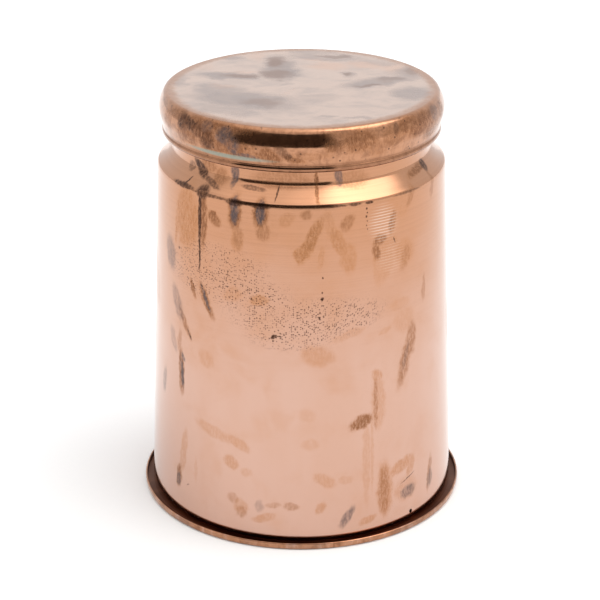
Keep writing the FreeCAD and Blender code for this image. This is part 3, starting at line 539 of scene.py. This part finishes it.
class Copper(Finish):
    """Spun copper: rubbed bright, warmer towards the lid, with lathe lines and a faint sway of tone."""

    def __init__(self, name, colours):
        super().__init__(name, **{"Metallic": 1.0, "Coat Roughness": 0.1, "Coat IOR": 1.4})
        where, x, y, z = self.place()
        self.where, self.x, self.y, self.z = where, x, y, z
        self.wall = (x.maths("ARCTAN2", y * -1.0) * FRONT_REACH, z)
        self.lines = self.noise(self.stretched(where, 0.012, 0.012, 2.6), 1.0, 4.0, 0.7)
        self.fine = self.noise(self.stretched(where, 0.02, 0.02, 9.0), 1.0, 2.0, 0.6)
        tone = self.noise(self.stretched(where, 0.05, 0.05, 0.016), 1.0, 3.0, 0.55)
        self.cloud = self.noise(where, 0.075, 4.0, 0.55, 0.3)
        warm = self.fade(z + (self.cloud - 0.5) * 30.0, 48.0, 128.0)
        colour = self.blend(warm * 0.92, colours.copper, colours.warm)
        rub = self.fade(tone, 0.35, 0.7) * 0.16 + self.fade(self.cloud, 0.48, 0.75) * 0.2
        colour = self.blend(rub, colour, colours.orange)
        lined = self.fade(self.lines, 0.35, 0.75, 0.0, 0.14) * warm
        self.colour = self.blend(lined, colour, colours.brown)

    def stained(self, layers):
        """The copper with stains over it, each layer in its own colours, and the film's thickness."""
        shaken = self.ragged(self.wall, self.where, 1.3, 0.3)
        steady = self.ragged(self.wall, self.where, 0.45, 0.7)
        speckle = self.noise(self.stretched(self.where, 1.4, 1.4, 0.5), 1.0, 4.0, 0.75)
        grain = self.fade(speckle, 0.34, 0.60, 0.45, 1.0)
        colour, film = self.colour, None
        for marks, edge, tint, soft in layers:
            if not marks:
                continue
            plane = steady if soft < 0.3 else shaken
            before = 0.0 if film is None else film
            mask = self.spots(plane, round_the_wall(marks), soft, before) * grain
            colour = self.blend(mask, colour, edge)
            colour = self.blend(mask * mask, colour, tint)
            film = mask if film is None else film.most(mask)
        return colour, film

    def finished(self, colour, rough, cover, height):
        """The worn copper; its clear coat goes where the film covers it."""
        return self.wear(
            Base_Color=colour, Roughness=rough, Coat_Weight=0.5 - cover,
            Normal=self.relief(height, 0.012, 0.6),
        )


def shell_finish(colours, name, zone):
    """The shell: drips under the shoulder, finger smears, dotted water marks and lathe lines, with a painted
    shade line along the shoulder's lower edge and a painted highlight on the ripples' crests.
    """
    finish = Copper("shell_copper_" + name, colours)
    z, lines = finish.z, finish.lines
    layers = [
        (within(STAINS_ORANGE, zone), colours.orange, colours.tan, 0.3),
        (within(DRIPS_BROWN + NECK_BROWN, zone), colours.tan, colours.brown, 0.34),
        (within(SMEARS_SLATE + NECK_SLATE, zone), colours.slate, colours.slate, 0.34),
        # Dark drips, and the painted shade line along the shoulder's lower edge.
        (within(DRIPS_AND_SHOULDER_SHADE + NECK_BLACK, zone), colours.umber, colours.umber, 0.28),
        (within(PIN_DOTS, zone), colours.umber, colours.umber, 0.28),
    ]
    colour, film = finish.stained(layers)
    dots = water_dots(finish)
    colour = finish.blend(dots * 0.92, colour, colours.umber)
    ridge = finish.spots(finish.wall, round_the_wall(RIDGES), 0.5)
    ripple = (z * 6.2).maths("SINE") * ridge
    # Painted highlight: the ripples' crests are lightened towards a near-white colour.
    colour = finish.blend(ripple.most(0.0) * 0.4, colour, colours.painted_ripple_highlight)
    foot = finish.fade(z, 3.9, 2.2)
    colour = finish.blend(foot * 0.55, colour, colours.brown)
    height = lines * 0.35 + finish.fine * 0.12 + film * 0.25 + ripple * 0.25
    rough = finish.fade(lines, 0.3, 0.8, 0.10, 0.19) + film * 0.16 + dots * 0.1
    return finish.finished(colour, rough, film * 0.4, height)


def water_dots(finish):
    """Rows of pin-head water marks, drawn up to the right in shallow arcs."""
    across, up = finish.wall
    bowed = up - (across + 6.0) * (across + 6.0) * finish.fade(across, -4.0, 14.0, 0.0, 0.011)
    away, chance = finish.cells(finish.vector(across, bowed * 1.3, 0.0), 1.55, 0.8)
    size = finish.fade(chance, 0.1, 0.85, 0.08, 0.56)
    dot = finish.fade(away, size, size * 0.6)
    patch = finish.spots(finish.wall, round_the_wall(WATER_MARKS), 0.35)
    thin = finish.fade(finish.noise(finish.where, 0.2, 3.0, 0.6), 0.34, 0.52, 0.3, 1.0)
    return dot * patch * thin


def lid_finish(colours):
    """The lid: clouded top, orange ring at the rounded edge, blotched side and a green line at the hem."""
    finish = Copper("lid_copper", colours)
    where, x, y, z = finish.where, finish.x, finish.y, finish.z
    layers = [
        (LID_BROWN, colours.tan, colours.brown, 0.4),
        (LID_SLATE, colours.slate, colours.slate, 0.35),
        (LID_BLACK, colours.umber, colours.umber, 0.4),
    ]
    colour, film = finish.stained(layers)
    mottle = finish.fade(finish.noise(where, 0.3, 5.0, 0.72, 0.9), 0.42, 0.64)
    streak = finish.fade(finish.noise(finish.stretched(where, 0.45, 0.45, 0.05), 1.0, 3.0, 0.6), 0.45, 0.7)
    colour = finish.blend(mottle * 0.55 + streak * 0.25, colour, colours.brown)
    away, chance = finish.cells(where, 0.55)
    specks = finish.fade(away, 0.26, 0.12) * finish.fade(chance, 0.66, 0.72)
    colour = finish.blend(specks * 0.8, colour, colours.umber)
    green = finish.spots(finish.wall, round_the_wall(VERDIGRIS), 0.4)
    colour = finish.blend(green, colour, colours.green)
    hem = finish.fade(z, 140.0, 139.3)
    colour = finish.blend(hem * 0.55, colour, colours.brown)

    flat = finish.vector(x, y, 0.0)
    disc = finish.ragged((x, y), where, 5.5, 0.11)
    from_axis = finish.node("ShaderNodeVectorMath", {"operation": "LENGTH"}, {0: flat})["Value"]
    drift = finish.noise(finish.stretched(flat, 0.07, 0.11, 1.0), 1.0, 4.0, 0.6, 0.4)
    top = finish.blend(finish.fade(drift, 0.42, 0.72) * 0.45, colours.rose, colours.lilac)
    salmon = finish.spots(disc, TOP_SALMON, 0.6, film)
    top = finish.blend(salmon, top, colours.salmon)
    lilac = finish.spots(disc, TOP_LILAC, 0.42, salmon)
    top = finish.blend(lilac * finish.fade(drift, 0.25, 0.55, 0.7, 1.0), top, colours.lilac)
    deep = finish.spots(disc, TOP_DEEP, 0.5, lilac)
    top = finish.blend(deep, top, colours.cloud)
    edge = finish.fade(from_axis + (finish.cloud - 0.5) * 5.0, 46.5, 43.2)
    on_top = edge * finish.fade(z, 149.6, 151.0)
    colour = finish.blend(on_top, colour, top)
    rim = finish.fade(from_axis, 42.5, 45.5) * finish.fade(from_axis, 48.6, 46.6)
    colour = finish.blend(rim * finish.fade(mottle, 0.0, 1.0, 0.25, 0.7), colour, colours.orange)
    cover = film.most(on_top * (lilac * 0.4 + 0.45))
    rough = finish.fade(finish.fine, 0.3, 0.8, 0.10, 0.17) + cover * 0.22
    height = finish.lines * 0.2 + finish.fine * 0.1 + cover * 0.25 + specks * 0.5
    return finish.finished(colour, rough, cover * 0.4, height)


def tray_finish(colours):
    """The tray: baked brown in the gutter, blotched copper on the lip's outside."""
    finish = Copper("tray_copper", colours)
    where, colour = finish.where, finish.colour
    disc = finish.vector(finish.x, finish.y, 0.0)
    from_axis = finish.node("ShaderNodeVectorMath", {"operation": "LENGTH"}, {0: disc})["Value"]
    blotch = finish.noise(finish.stretched(where, 1.0, 1.0, 0.5), 0.22, 5.0, 0.7, 0.7)
    colour = finish.blend(finish.fade(blotch, 0.28, 0.50) * 0.85, colour, colours.tan)
    colour = finish.blend(finish.fade(blotch, 0.48, 0.64) * 0.8, colour, colours.brown)
    mauve = finish.fade(finish.noise(where, 0.06, 3.0, 0.5), 0.5, 0.66)
    colour = finish.blend(mauve * 0.3, colour, colours.slate)
    crumbs = finish.fade(finish.noise(where, 1.3, 3.0, 0.7), 0.62, 0.72)
    colour = finish.blend(crumbs * 0.6, colour, colours.umber)
    inside = finish.fade(from_axis, 58.05, 57.85) * finish.fade(finish.z, 0.3, 0.5)
    burnt = finish.blend(finish.fade(finish.cloud, 0.45, 0.7) * 0.5, colours.gutter, colours.brown)
    colour = finish.blend(inside, colour, burnt)
    rough = finish.fade(finish.fine, 0.3, 0.8, 0.14, 0.24) + inside * 0.2 + crumbs * 0.1
    height = finish.lines * 0.3 + crumbs * 0.4
    return finish.finished(colour, rough, inside * 0.45, height)


# ---------------------------------------------------------------- other finishes


def sheet_finish(name, colours, bare, soot_from, soot_to, tint=0.0):
    """Rolled sheet steel or tinplate with handling scratches, heat tints and smoke that thickens upwards."""
    finish = Finish(name, Metallic=1.0)
    where, _, _, z = finish.place()
    roll = finish.noise(finish.stretched(where, 0.05, 0.05, 3.0), 1.0, 3.0, 0.6)
    bloom = finish.noise(where, 0.12, 4.0, 0.6, 0.5)
    scratch = finish.fade(finish.noise(finish.stretched(where, 2.4, 2.4, 0.12), 1.0, 2.0, 0.5), 0.62, 0.7)
    chance = finish.cells(where, 0.22)[1]
    colour = finish.blend(finish.fade(chance, 0.0, 1.0, 0.0, 0.22), bare, colours.spangle)
    if tint:
        band = finish.fade(z + (bloom - 0.5) * 26.0, 34.0, 92.0)
        straw = finish.fade(band, 0.05, 0.3) * tint
        blue = finish.fade(band, 0.4, 0.65) * tint
        colour = finish.blend(straw, colour, colours.straw)
        colour = finish.blend(blue, colour, colours.peacock)
    smoke = finish.fade(z + (bloom - 0.5) * 22.0, soot_from, soot_to)
    smut = (smoke * finish.fade(bloom, 0.30, 0.55, 0.65, 1.0)).least(0.96)
    rusty = finish.fade(finish.noise(where, 0.35, 5.0, 0.7), 0.60, 0.70) * 0.4
    colour = finish.blend(rusty, colour, colours.rust)
    colour = finish.blend(smut, colour, colours.soot)
    rough = finish.fade(roll, 0.3, 0.8, 0.24, 0.36) + smut * 0.4 - scratch * 0.06
    return finish.wear(
        Base_Color=colour, Roughness=rough, Metallic=1.0 - smut * 0.9,
        Normal=finish.relief(roll * 0.4 + scratch * -0.4 + bloom * 0.3, 0.02, 0.5),
    )


def wire_finish(colours):
    """Drawn and annealed wire: dark scale, rubbed bright in patches, with a little rust."""
    finish = Finish("iron_wire", Metallic=1.0)
    where = finish.place()[0]
    skin = finish.noise(where, 0.9, 4.0, 0.65)
    rubbed = finish.fade(finish.noise(where, 0.18, 3.0, 0.6), 0.5, 0.62)
    colour = finish.blend(finish.fade(skin, 0.4, 0.65), colours.scale, colours.iron)
    colour = finish.blend(rubbed * 0.6, colour, colours.worn_wire)
    rust = finish.fade(finish.noise(where, 0.5, 5.0, 0.7), 0.56, 0.66) * 0.6
    colour = finish.blend(rust, colour, colours.rust)
    rough = finish.fade(skin, 0.3, 0.7, 0.32, 0.48) + rust * 0.25 - rubbed * 0.08
    return finish.wear(
        Base_Color=colour, Roughness=rough, Metallic=1.0 - rust,
        Normal=finish.relief(skin, 0.03, 0.6),
    )


def rivet_finish(colours):
    """Small iron rivets: hammered, with painted shade in the hollows and a painted highlight on the crowns.
    """
    finish = Finish("rivet_iron", Metallic=1.0)
    where = finish.place()[0]
    dents = finish.cells(where, 1.6)[0]
    skin = finish.noise(where, 2.0, 4.0, 0.6)
    # Painted shade in the hammer dents, and a painted highlight on the crowns between them.
    colour = finish.blend(finish.fade(dents, 0.1, 0.7), colours.rivet_hollow_shade, colours.rivet_crown_highlight)
    rust = finish.fade(skin, 0.56, 0.68) * 0.7
    colour = finish.blend(rust, colour, colours.rust)
    return finish.wear(
        Base_Color=colour, Roughness=finish.fade(skin, 0.3, 0.7, 0.3, 0.55), Metallic=1.0 - rust,
        Normal=finish.relief(dents, 0.05, 0.7),
    )


def brass_finish(colours):
    """Rolled brass: fine lines round the band, brown tarnish and finger-worn bright patches."""
    finish = Finish("rolled_brass", Metallic=1.0)
    where = finish.place()[0]
    lines = finish.noise(finish.stretched(where, 0.03, 0.03, 6.0), 1.0, 3.0, 0.6)
    bloom = finish.noise(where, 0.16, 4.0, 0.6, 0.4)
    colour = finish.blend(finish.fade(bloom, 0.4, 0.68) * 0.75, colours.brass, colours.tarnish)
    colour = finish.blend(finish.fade(lines, 0.4, 0.8) * 0.3, colour, colours.worn_brass)
    spots = finish.fade(finish.noise(where, 0.9, 3.0, 0.7), 0.64, 0.72)
    colour = finish.blend(spots * 0.6, colour, colours.umber)
    rough = finish.fade(lines, 0.3, 0.8, 0.16, 0.28) + spots * 0.2 + finish.fade(bloom, 0.4, 0.7) * 0.12
    return finish.wear(Base_Color=colour, Roughness=rough, Normal=finish.relief(lines, 0.015, 0.5))


def packing_finish(colours):
    """Square-woven glass-fibre rope: crossing strands, each with its own twist, singed at the edges, with
    painted shade in the gaps between the strands.
    """
    finish = Finish("woven_packing")
    where, x, y, z = finish.place()
    turn = x.maths("ARCTAN2", y * -1.0) * PACKING_REACH
    across = (turn * 1.7 + z * 2.4).maths("SINE")
    back = (turn * 1.7 - z * 2.4).maths("SINE")
    weave = across.most(back)
    strand = finish.noise(finish.vector(turn * 6.0, z * 6.0, (across - back) * 0.5), 1.0, 3.0, 0.6)
    # Painted shade: the gaps between the strands are darkened.
    hollow = finish.fade(weave, 0.75, -0.1)
    colour = finish.blend(hollow * 0.8, colours.packing, colours.gap)
    singe = finish.fade(finish.noise(where, 0.2, 4.0, 0.6), 0.46, 0.66)
    colour = finish.blend(singe * 0.6, colour, colours.singe)
    colour = finish.blend(finish.fade(strand, 0.4, 0.7) * 0.3, colour, colours.fibre)
    return finish.wear(
        Base_Color=colour, Roughness=finish.fade(strand, 0.3, 0.7, 0.75, 0.95),
        Normal=finish.relief(weave * 0.8 + strand * 0.3, 0.25, 0.9),
    )


# ---------------------------------------------------------------- turning


def arc(across, up, radius, start, end, steps):
    """Points on a round arc about (across, up), from one angle to another in degrees."""
    points = []
    for step in range(steps + 1):
        angle = math.radians(start + (end - start) * step / steps)
        points.append((across + radius * math.cos(angle), up + radius * math.sin(angle)))
    return points


def line(start, end, steps):
    """Points from start to end, without the first."""
    return [
        (start[0] + (end[0] - start[0]) * i / steps, start[1] + (end[1] - start[1]) * i / steps)
        for i in range(1, steps + 1)
    ]


def eased(points, rounds):
    """The path with its corners cut again and again, which leaves one smooth curve."""
    for _ in range(rounds):
        cut = [points[0]]
        for (r0, z0), (r1, z1) in zip(points, points[1:]):
            cut.append((0.75 * r0 + 0.25 * r1, 0.75 * z0 + 0.25 * z1))
            cut.append((0.25 * r0 + 0.75 * r1, 0.25 * z0 + 0.75 * z1))
        points = [*cut, points[-1]]
    return points


def apart(points):
    """The same points without any that stand on the one before."""
    kept = [points[0]]
    for point in points[1:]:
        if math.dist(point, kept[-1]) > SAME_POINT:
            kept.append(point)
    return kept


def inward(points, thickness):
    """The path moved to the right-hand side of its own direction by the sheet's thickness."""
    moved = []
    for i, point in enumerate(points):
        before, after = points[max(i - 1, 0)], points[min(i + 1, len(points) - 1)]
        run = Vector((after[0] - before[0], after[1] - before[1])).normalized()
        moved.append((max(point[0] + run.y * thickness, 0.0), point[1] - run.x * thickness))
    return moved


def lathe(name, outline, segments, sway=0.0):
    """Turns a closed outline of (radius, height) points about the axis, with a slight hand-spun sway."""
    rings, verts, faces = [], [], []
    for radius, height in outline:
        if radius < 1e-6:
            rings.append([len(verts)] * segments)
            verts.append((0.0, 0.0, height))
            continue
        ring = []
        for step in range(segments):
            turn = 2 * math.pi * step / segments
            wave = math.sin(3 * turn + height * 60) + 0.6 * math.sin(7 * turn - height * 110)
            wander = radius + sway * wave * 0.5 * min(radius / SWAY_REACH, 1.0)
            ring.append(len(verts))
            verts.append((wander * math.sin(turn), -wander * math.cos(turn), height))
        rings.append(ring)
    for i, ring in enumerate(rings):
        other = rings[(i + 1) % len(rings)]
        for step in range(segments):
            nxt = (step + 1) % segments
            corners = [ring[step], ring[nxt], other[nxt], other[step]]
            corners = [c for k, c in enumerate(corners) if c != corners[k - 1]]
            if len(set(corners)) > 2:
                faces.append(corners)
    mesh = bpy.data.meshes.new(name)
    mesh.from_pydata(verts, [], faces)
    mesh.validate()
    mesh.update()
    piece = bpy.data.objects.new(name, mesh)
    bpy.context.scene.collection.objects.link(piece)
    return piece


def facing_out(piece):
    """Turns every face outwards, smooths the shading and keeps the sheet's cut edges crisp."""
    work = bmesh.new()
    work.from_mesh(piece.data)
    bmesh.ops.remove_doubles(work, verts=work.verts, dist=1e-7)
    bmesh.ops.recalc_face_normals(work, faces=work.faces)
    work.to_mesh(piece.data)
    work.free()
    piece.data.shade_smooth()
    piece.data.set_sharp_from_angle(angle=TURNED_CREASE)


def settle(piece, body, node, material):
    """Gives a new piece its finish and its body, and hides the CAD node that it stands for."""
    piece.data.materials.clear()
    if material:
        piece.data.materials.append(material)
    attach(piece, body)
    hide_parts(node)


def dress(nodes, material):
    """Gives a finish to CAD nodes that keep their own shape."""
    for name in nodes:
        mesh = NODES[name].data
        mesh.materials.clear()
        mesh.materials.append(material)
        mesh.shade_smooth()
        mesh.set_sharp_from_angle(angle=KEPT_CREASE)


# ---------------------------------------------------------------- operators


class CopperOperator:
    """What the operators share."""

    bl_options = {"REGISTER", "UNDO"}

    @property
    def sizes(self):
        return bpy.context.scene.can_sizes

    @property
    def colours(self):
        return bpy.context.scene.can_colours

    @property
    def studio(self):
        return bpy.context.scene.can_studio


class CAN_OT_lid(CopperOperator, bpy.types.Operator):
    """Turn the lid: flat top, full rounded corner, side drawn in to a hem rolled round a wire"""

    bl_idname = "can.lid"
    bl_label = "Lid"

    def execute(self, context):
        s = self.sizes
        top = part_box("lid_cap")[1].z - LID_PLAY
        bend, belly, turn = s.lid_corner, s.lid_belly, s.lid_turn
        middle = s.lid_side - belly
        near = (middle + (belly - bend) * math.cos(turn), top - bend)
        far = (middle, near[1] - (belly - bend) * math.sin(turn))
        split = math.degrees(turn)
        corner = arc(*near, bend, 90, split, 24) + arc(*far, belly, split, -18, 40)[1:]
        side = line(corner[-1], (s.crease, s.crease_height), 4)
        hem = arc(s.hem_radius, s.hem_height, s.hem_tube, 42, -230, 40)
        outer = apart([(0.0, top)] + line((0.0, top), corner[0], 14) + corner[1:] + side + hem)
        inner = inward(outer, s.sheet)
        piece = lathe("lid_spinning", outer + inner[::-1], s.segments, s.sway)
        facing_out(piece)
        settle(piece, "lid", "lid_cap", lid_finish(self.colours))
        return {"FINISHED"}


class CAN_OT_shell(CopperOperator, bpy.types.Operator):
    """Turn the shell: neck, fillet, sloped shoulder and tapered wall with its draught hole"""

    bl_idname = "can.shell"
    bl_label = "Shell"

    def execute(self, context):
        s = self.sizes
        low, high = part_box("shell")
        hollow, bend, root, foot = s.fillet, s.shoulder_bend, s.shoulder_root, s.shoulder_low
        shoulder = eased(
            [
                (s.neck, root + 2.5 * hollow),
                (s.neck, root + 0.72 * hollow),
                (s.neck + 0.08 * hollow, root + 0.45 * hollow),
                (s.neck + 0.30 * hollow, root + 0.20 * hollow),
                (s.neck + 0.96 * hollow, root - 0.48 * hollow),
                (s.wall_top - 0.46 * bend, foot + 0.90 * bend),
                (s.wall_top - 0.16 * bend, foot + 0.56 * bend),
                (s.wall_top, foot),
                (s.wall_top + 0.05 * bend, foot - 1.2 * bend),
            ],
            3,
        )
        outer = apart(
            [(s.neck, high.z)] + line((s.neck, high.z), shoulder[0], 8) + shoulder
            + line(shoulder[-1], (high.x, low.z), 44)
        )
        inner = inward(outer, s.sheet)
        inner[0], inner[-1] = (inner[0][0], high.z), (high.x - s.sheet, low.z)
        piece = lathe("shell_spinning", outer + inner[::-1], s.segments, s.sway)
        facing_out(piece)
        self.drill(piece, s)
        facing_out(piece)
        settle(piece, "shell", "shell", None)
        self.finish(piece)
        return {"FINISHED"}

    def finish(self, piece):
        """One finish for each zone, so that no point has to look through the marks of the others."""
        for name, zone in SHELL_ZONES.items():
            piece.data.materials.append(shell_finish(self.colours, name, zone))
        zones = list(SHELL_ZONES.values())
        for face in piece.data.polygons:
            x, y, z = face.center
            front = math.degrees(abs(math.atan2(x, -y))) < FRONT_SIDE
            height = z / MM
            face.material_index = next(
                i for i, (low, high, on_front) in enumerate(zones)
                if on_front == front and low <= height < high
            )

    def drill(self, piece, s):
        """Cuts the draught hole with a short round drill."""
        reach = Vector((math.sin(s.hole_azimuth), -math.cos(s.hole_azimuth), 0.0))
        bit = s.hole_radius
        ends = [(0.0, -DRILL_HALF), (bit, -DRILL_HALF), (bit, DRILL_HALF), (0.0, DRILL_HALF)]
        drill = lathe("drill", ends, 28)
        facing_out(drill)
        middle = reach * (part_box("shell")[1].x - s.sheet) + Vector((0, 0, s.hole_height))
        turned = reach.to_track_quat("Z", "Y").to_matrix().to_4x4()
        drill.matrix_world = Matrix.Translation(middle) @ turned
        cut = piece.modifiers.new("draught_hole", "BOOLEAN")
        cut.operation, cut.solver, cut.object = "DIFFERENCE", "EXACT", drill
        bpy.context.view_layer.update()
        graph = bpy.context.evaluated_depsgraph_get()
        cut_mesh = bpy.data.meshes.new_from_object(piece.evaluated_get(graph))
        piece.modifiers.clear()
        piece.data = cut_mesh
        bpy.data.objects.remove(drill)
        if not cut_mesh.polygons:
            raise RuntimeError("the draught hole left no shell")


class CAN_OT_tray(CopperOperator, bpy.types.Operator):
    """Turn the tray: flat floor, tight corner and a low lip with a rounded rim"""

    bl_idname = "can.tray"
    bl_label = "Tray"

    def execute(self, context):
        s = self.sizes
        low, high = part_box("base_tray")
        lip, top, gauge, corner = high.x, high.z, s.tray_sheet, s.tray_corner
        half = gauge / 2
        outline = apart(
            [(0.0, low.z)] + line((0.0, low.z), (lip - corner, low.z), 10)
            + arc(lip - corner, low.z + corner, corner, -90, 0, 10)
            + line((lip, low.z + corner), (lip, top - half), 3)
            + arc(lip - half, top - half, half, 0, 180, 14)
            + line((lip - gauge, top - half), (lip - gauge, low.z + corner), 3)
            + arc(lip - corner, low.z + corner, corner - gauge, 0, -90, 5)
            + line((lip - corner, low.z + gauge), (0.0, low.z + gauge), 12)
        )
        piece = lathe("tray_spinning", outline, s.segments)
        facing_out(piece)
        settle(piece, "tray", "base_tray", tray_finish(self.colours))
        return {"FINISHED"}


class CAN_OT_bands(CopperOperator, bpy.types.Operator):
    """Finish the two brass bands that locate the shell and the lid"""

    bl_idname = "can.bands"
    bl_label = "Brass bands"

    def execute(self, context):
        dress(["locating_ring", "neck_band"], brass_finish(self.colours))
        return {"FINISHED"}


class CAN_OT_tinplate(CopperOperator, bpy.types.Operator):
    """Finish the lid's collar and heat plate, and the ash pan"""

    bl_idname = "can.tinplate"
    bl_label = "Tinplate"

    def execute(self, context):
        c = self.colours
        dress(["lid_collar", "lid_heat_plate"], sheet_finish("smoked_tinplate", c, c.tin, 128.0, 156.0, 0.5))
        dress(["ash_pan"], sheet_finish("ash_pan_tinplate", c, c.tin, -8.0, 26.0))
        return {"FINISHED"}


class CAN_OT_liner(CopperOperator, bpy.types.Operator):
    """Finish the liner, its legs and its bail ears in heat-tinted steel"""

    bl_idname = "can.liner"
    bl_label = "Liner"

    def execute(self, context):
        c = self.colours
        members = frame["record"]["behaviour"]["bodies"]["liner"]
        steel = [n for n in members if n.startswith(("liner_wall", "liner_floor", "liner_leg", "bail_ear"))]
        dress(steel, sheet_finish("liner_steel", c, c.steel, 62.0, 128.0, 0.85))
        return {"FINISHED"}


class CAN_OT_grate(CopperOperator, bpy.types.Operator):
    """Finish the grate and its legs in sooty steel"""

    bl_idname = "can.grate"
    bl_label = "Grate"

    def execute(self, context):
        c = self.colours
        members = frame["record"]["behaviour"]["bodies"]["grate"]
        steel = [n for n in members if n != "grate_loop"]
        dress(steel, sheet_finish("grate_steel", c, c.steel, 12.0, 44.0, 0.6))
        return {"FINISHED"}


class CAN_OT_wires(CopperOperator, bpy.types.Operator):
    """Finish the rim and hem wires, the bail and the grate's loop"""

    bl_idname = "can.wires"
    bl_label = "Wires"

    def execute(self, context):
        dress(["lid_hem_wire", "liner_rim_wire", "bail", "grate_loop"], wire_finish(self.colours))
        return {"FINISHED"}


class CAN_OT_rivets(CopperOperator, bpy.types.Operator):
    """Finish the rivets of the legs and ears"""

    bl_idname = "can.rivets"
    bl_label = "Rivets"

    def execute(self, context):
        dress(["leg_rivets", "ear_rivets"], rivet_finish(self.colours))
        return {"FINISHED"}


class CAN_OT_packing(CopperOperator, bpy.types.Operator):
    """Finish the woven packing ring under the lid"""

    bl_idname = "can.packing"
    bl_label = "Packing ring"

    def execute(self, context):
        dress(["lid_packing_ring"], packing_finish(self.colours))
        return {"FINISHED"}


class CAN_OT_stage(CopperOperator, bpy.types.Operator):
    """Lay the pale floor, light the white room and set the camera"""

    bl_idname = "can.stage"
    bl_label = "Stage"

    def execute(self, context):
        self.floor()
        self.room()
        self.flag()
        self.camera()
        view = context.scene.view_settings
        view.view_transform, view.look, view.exposure, view.gamma = "Standard", "None", 0.0, 1.0
        return {"FINISHED"}

    def floor(self):
        radius, steps = self.studio.floor_radius, 96
        turns = [2 * math.pi * i / steps for i in range(steps)]
        ring = [(radius * math.cos(turn), radius * math.sin(turn), 0.0) for turn in turns]
        mesh = bpy.data.meshes.new("pale_floor")
        mesh.from_pydata(ring, [], [list(range(steps))])
        piece = bpy.data.objects.new("pale_floor", mesh)
        bpy.context.scene.collection.objects.link(piece)
        finish = Finish("pale_floor", Roughness=0.9)
        grain = finish.noise(finish.place()[0], 0.6, 3.0, 0.5)
        worn = finish.fade(grain, 0.3, 0.7) * 0.5
        colour = finish.blend(worn, self.colours.floor, self.colours.floor_grain)
        finish.wear(Base_Color=colour)
        mesh.materials.append(finish.material)

    def room(self):
        """A white room, brighter overhead, with two soft boxes high on the right."""
        world = bpy.data.worlds.new("white_room")
        bpy.context.scene.world = world
        world.use_nodes = True
        paint = Paint(world.node_tree)
        way = paint.node("ShaderNodeTexCoord")["Generated"]
        parts = paint.node("ShaderNodeSeparateXYZ", values={0: way})
        turn = parts[0].maths("ARCTAN2", parts[1] * -1.0) * math.degrees(1.0)
        lift = parts[2].maths("ARCSINE") * math.degrees(1.0)
        above = paint.fade(lift, 42.0, 60.0) * self.studio.overhead
        glow = 0.0
        for towards, edge, heart, part in SOFT_BOXES:
            values = {0: way, 1: tuple(Vector(towards).normalized())}
            near = paint.node("ShaderNodeVectorMath", {"operation": "DOT_PRODUCT"}, values)["Value"]
            lit = paint.fade(near, math.cos(math.radians(edge)), math.cos(math.radians(heart)))
            glow = lit * (self.studio.soft_box * part) + glow
        strength = above + glow + self.studio.sky
        behind = paint.fade(turn.maths("ABSOLUTE"), 60.0, 140.0)
        tint = paint.blend(behind, self.colours.lamp, self.colours.daylight)
        light = paint.node("ShaderNodeBackground", values={"Color": tint, "Strength": strength})
        paint.node("ShaderNodeOutputWorld", values={"Surface": light[0]})

    def flag(self):
        """A dark curtain low down where the camera stands; only the copper's reflections show it."""
        s, steps = self.studio, 24
        verts, faces = [], []
        for i in range(steps + 1):
            turn = -s.flag_left + (s.flag_right + s.flag_left) * i / steps
            x, y = s.flag_distance * math.sin(turn), -s.flag_distance * math.cos(turn)
            verts += [(x, y, s.flag_low), (x, y, s.flag_high)]
            if i:
                faces.append((2 * i - 2, 2 * i, 2 * i + 1, 2 * i - 1))
        mesh = bpy.data.meshes.new("dark_flag")
        mesh.from_pydata(verts, [], faces)
        card = bpy.data.objects.new("dark_flag", mesh)
        bpy.context.scene.collection.objects.link(card)
        cloth = Finish("dark_flag", Roughness=1.0)
        nap = cloth.noise(cloth.place()[0], 0.05, 3.0, 0.5)
        shade = cloth.blend(nap, self.colours.cloth, self.colours.nap)
        mesh.materials.append(cloth.wear(Base_Color=shade))
        card.visible_camera = card.visible_diffuse = card.visible_shadow = False

    def camera(self):
        s = self.studio
        data = bpy.data.cameras.new("camera")
        data.lens, data.sensor_width, data.clip_start = s.lens, 36.0, 0.01
        camera = bpy.data.objects.new("camera", data)
        bpy.context.scene.collection.objects.link(camera)
        aim = Vector((-s.aim_side, 0.0, s.aim_height))
        back = Vector((0.0, -math.cos(s.camera_lift), math.sin(s.camera_lift)))
        camera.location = aim + back * s.camera_distance
        camera.rotation_euler = (-back).to_track_quat("-Z", "Y").to_euler()
        bpy.context.scene.camera = camera


class CAN_PT_panel(bpy.types.Panel):
    """Lists the pieces in the order they are made"""

    bl_idname = "CAN_PT_panel"
    bl_label = "Fire Can"
    bl_space_type = "VIEW_3D"
    bl_region_type = "UI"
    bl_category = "Fire Can"

    def draw(self, context):
        column = self.layout.column()
        for operator in OPERATORS:
            column.operator(operator.bl_idname)
        for group in (context.scene.can_sizes, context.scene.can_colours, context.scene.can_studio):
            box = self.layout.box()
            for prop in group.bl_rna.properties:
                if prop.identifier not in {"rna_type", "name"}:
                    box.prop(group, prop.identifier)


OPERATORS = (
    CAN_OT_lid,
    CAN_OT_shell,
    CAN_OT_tray,
    CAN_OT_bands,
    CAN_OT_tinplate,
    CAN_OT_liner,
    CAN_OT_grate,
    CAN_OT_wires,
    CAN_OT_rivets,
    CAN_OT_packing,
    CAN_OT_stage,
)
GROUPS = {"can_sizes": SpinningSizes, "can_colours": FinishColours, "can_studio": StudioSizes}


def register():
    for item in (*GROUPS.values(), *OPERATORS, CAN_PT_panel):
        bpy.utils.register_class(item)
    for name, group in GROUPS.items():
        setattr(bpy.types.Scene, name, bpy.props.PointerProperty(type=group))


def unregister():
    for name in GROUPS:
        delattr(bpy.types.Scene, name)
    for item in reversed((*GROUPS.values(), *OPERATORS, CAN_PT_panel)):
        bpy.utils.unregister_class(item)


def main():
    """Makes every piece in order."""
    register()
    for operator in OPERATORS:
        name = operator.bl_idname.split(".")[1]
        getattr(bpy.ops.can, name)()


if __name__ == "__main__":
    main()
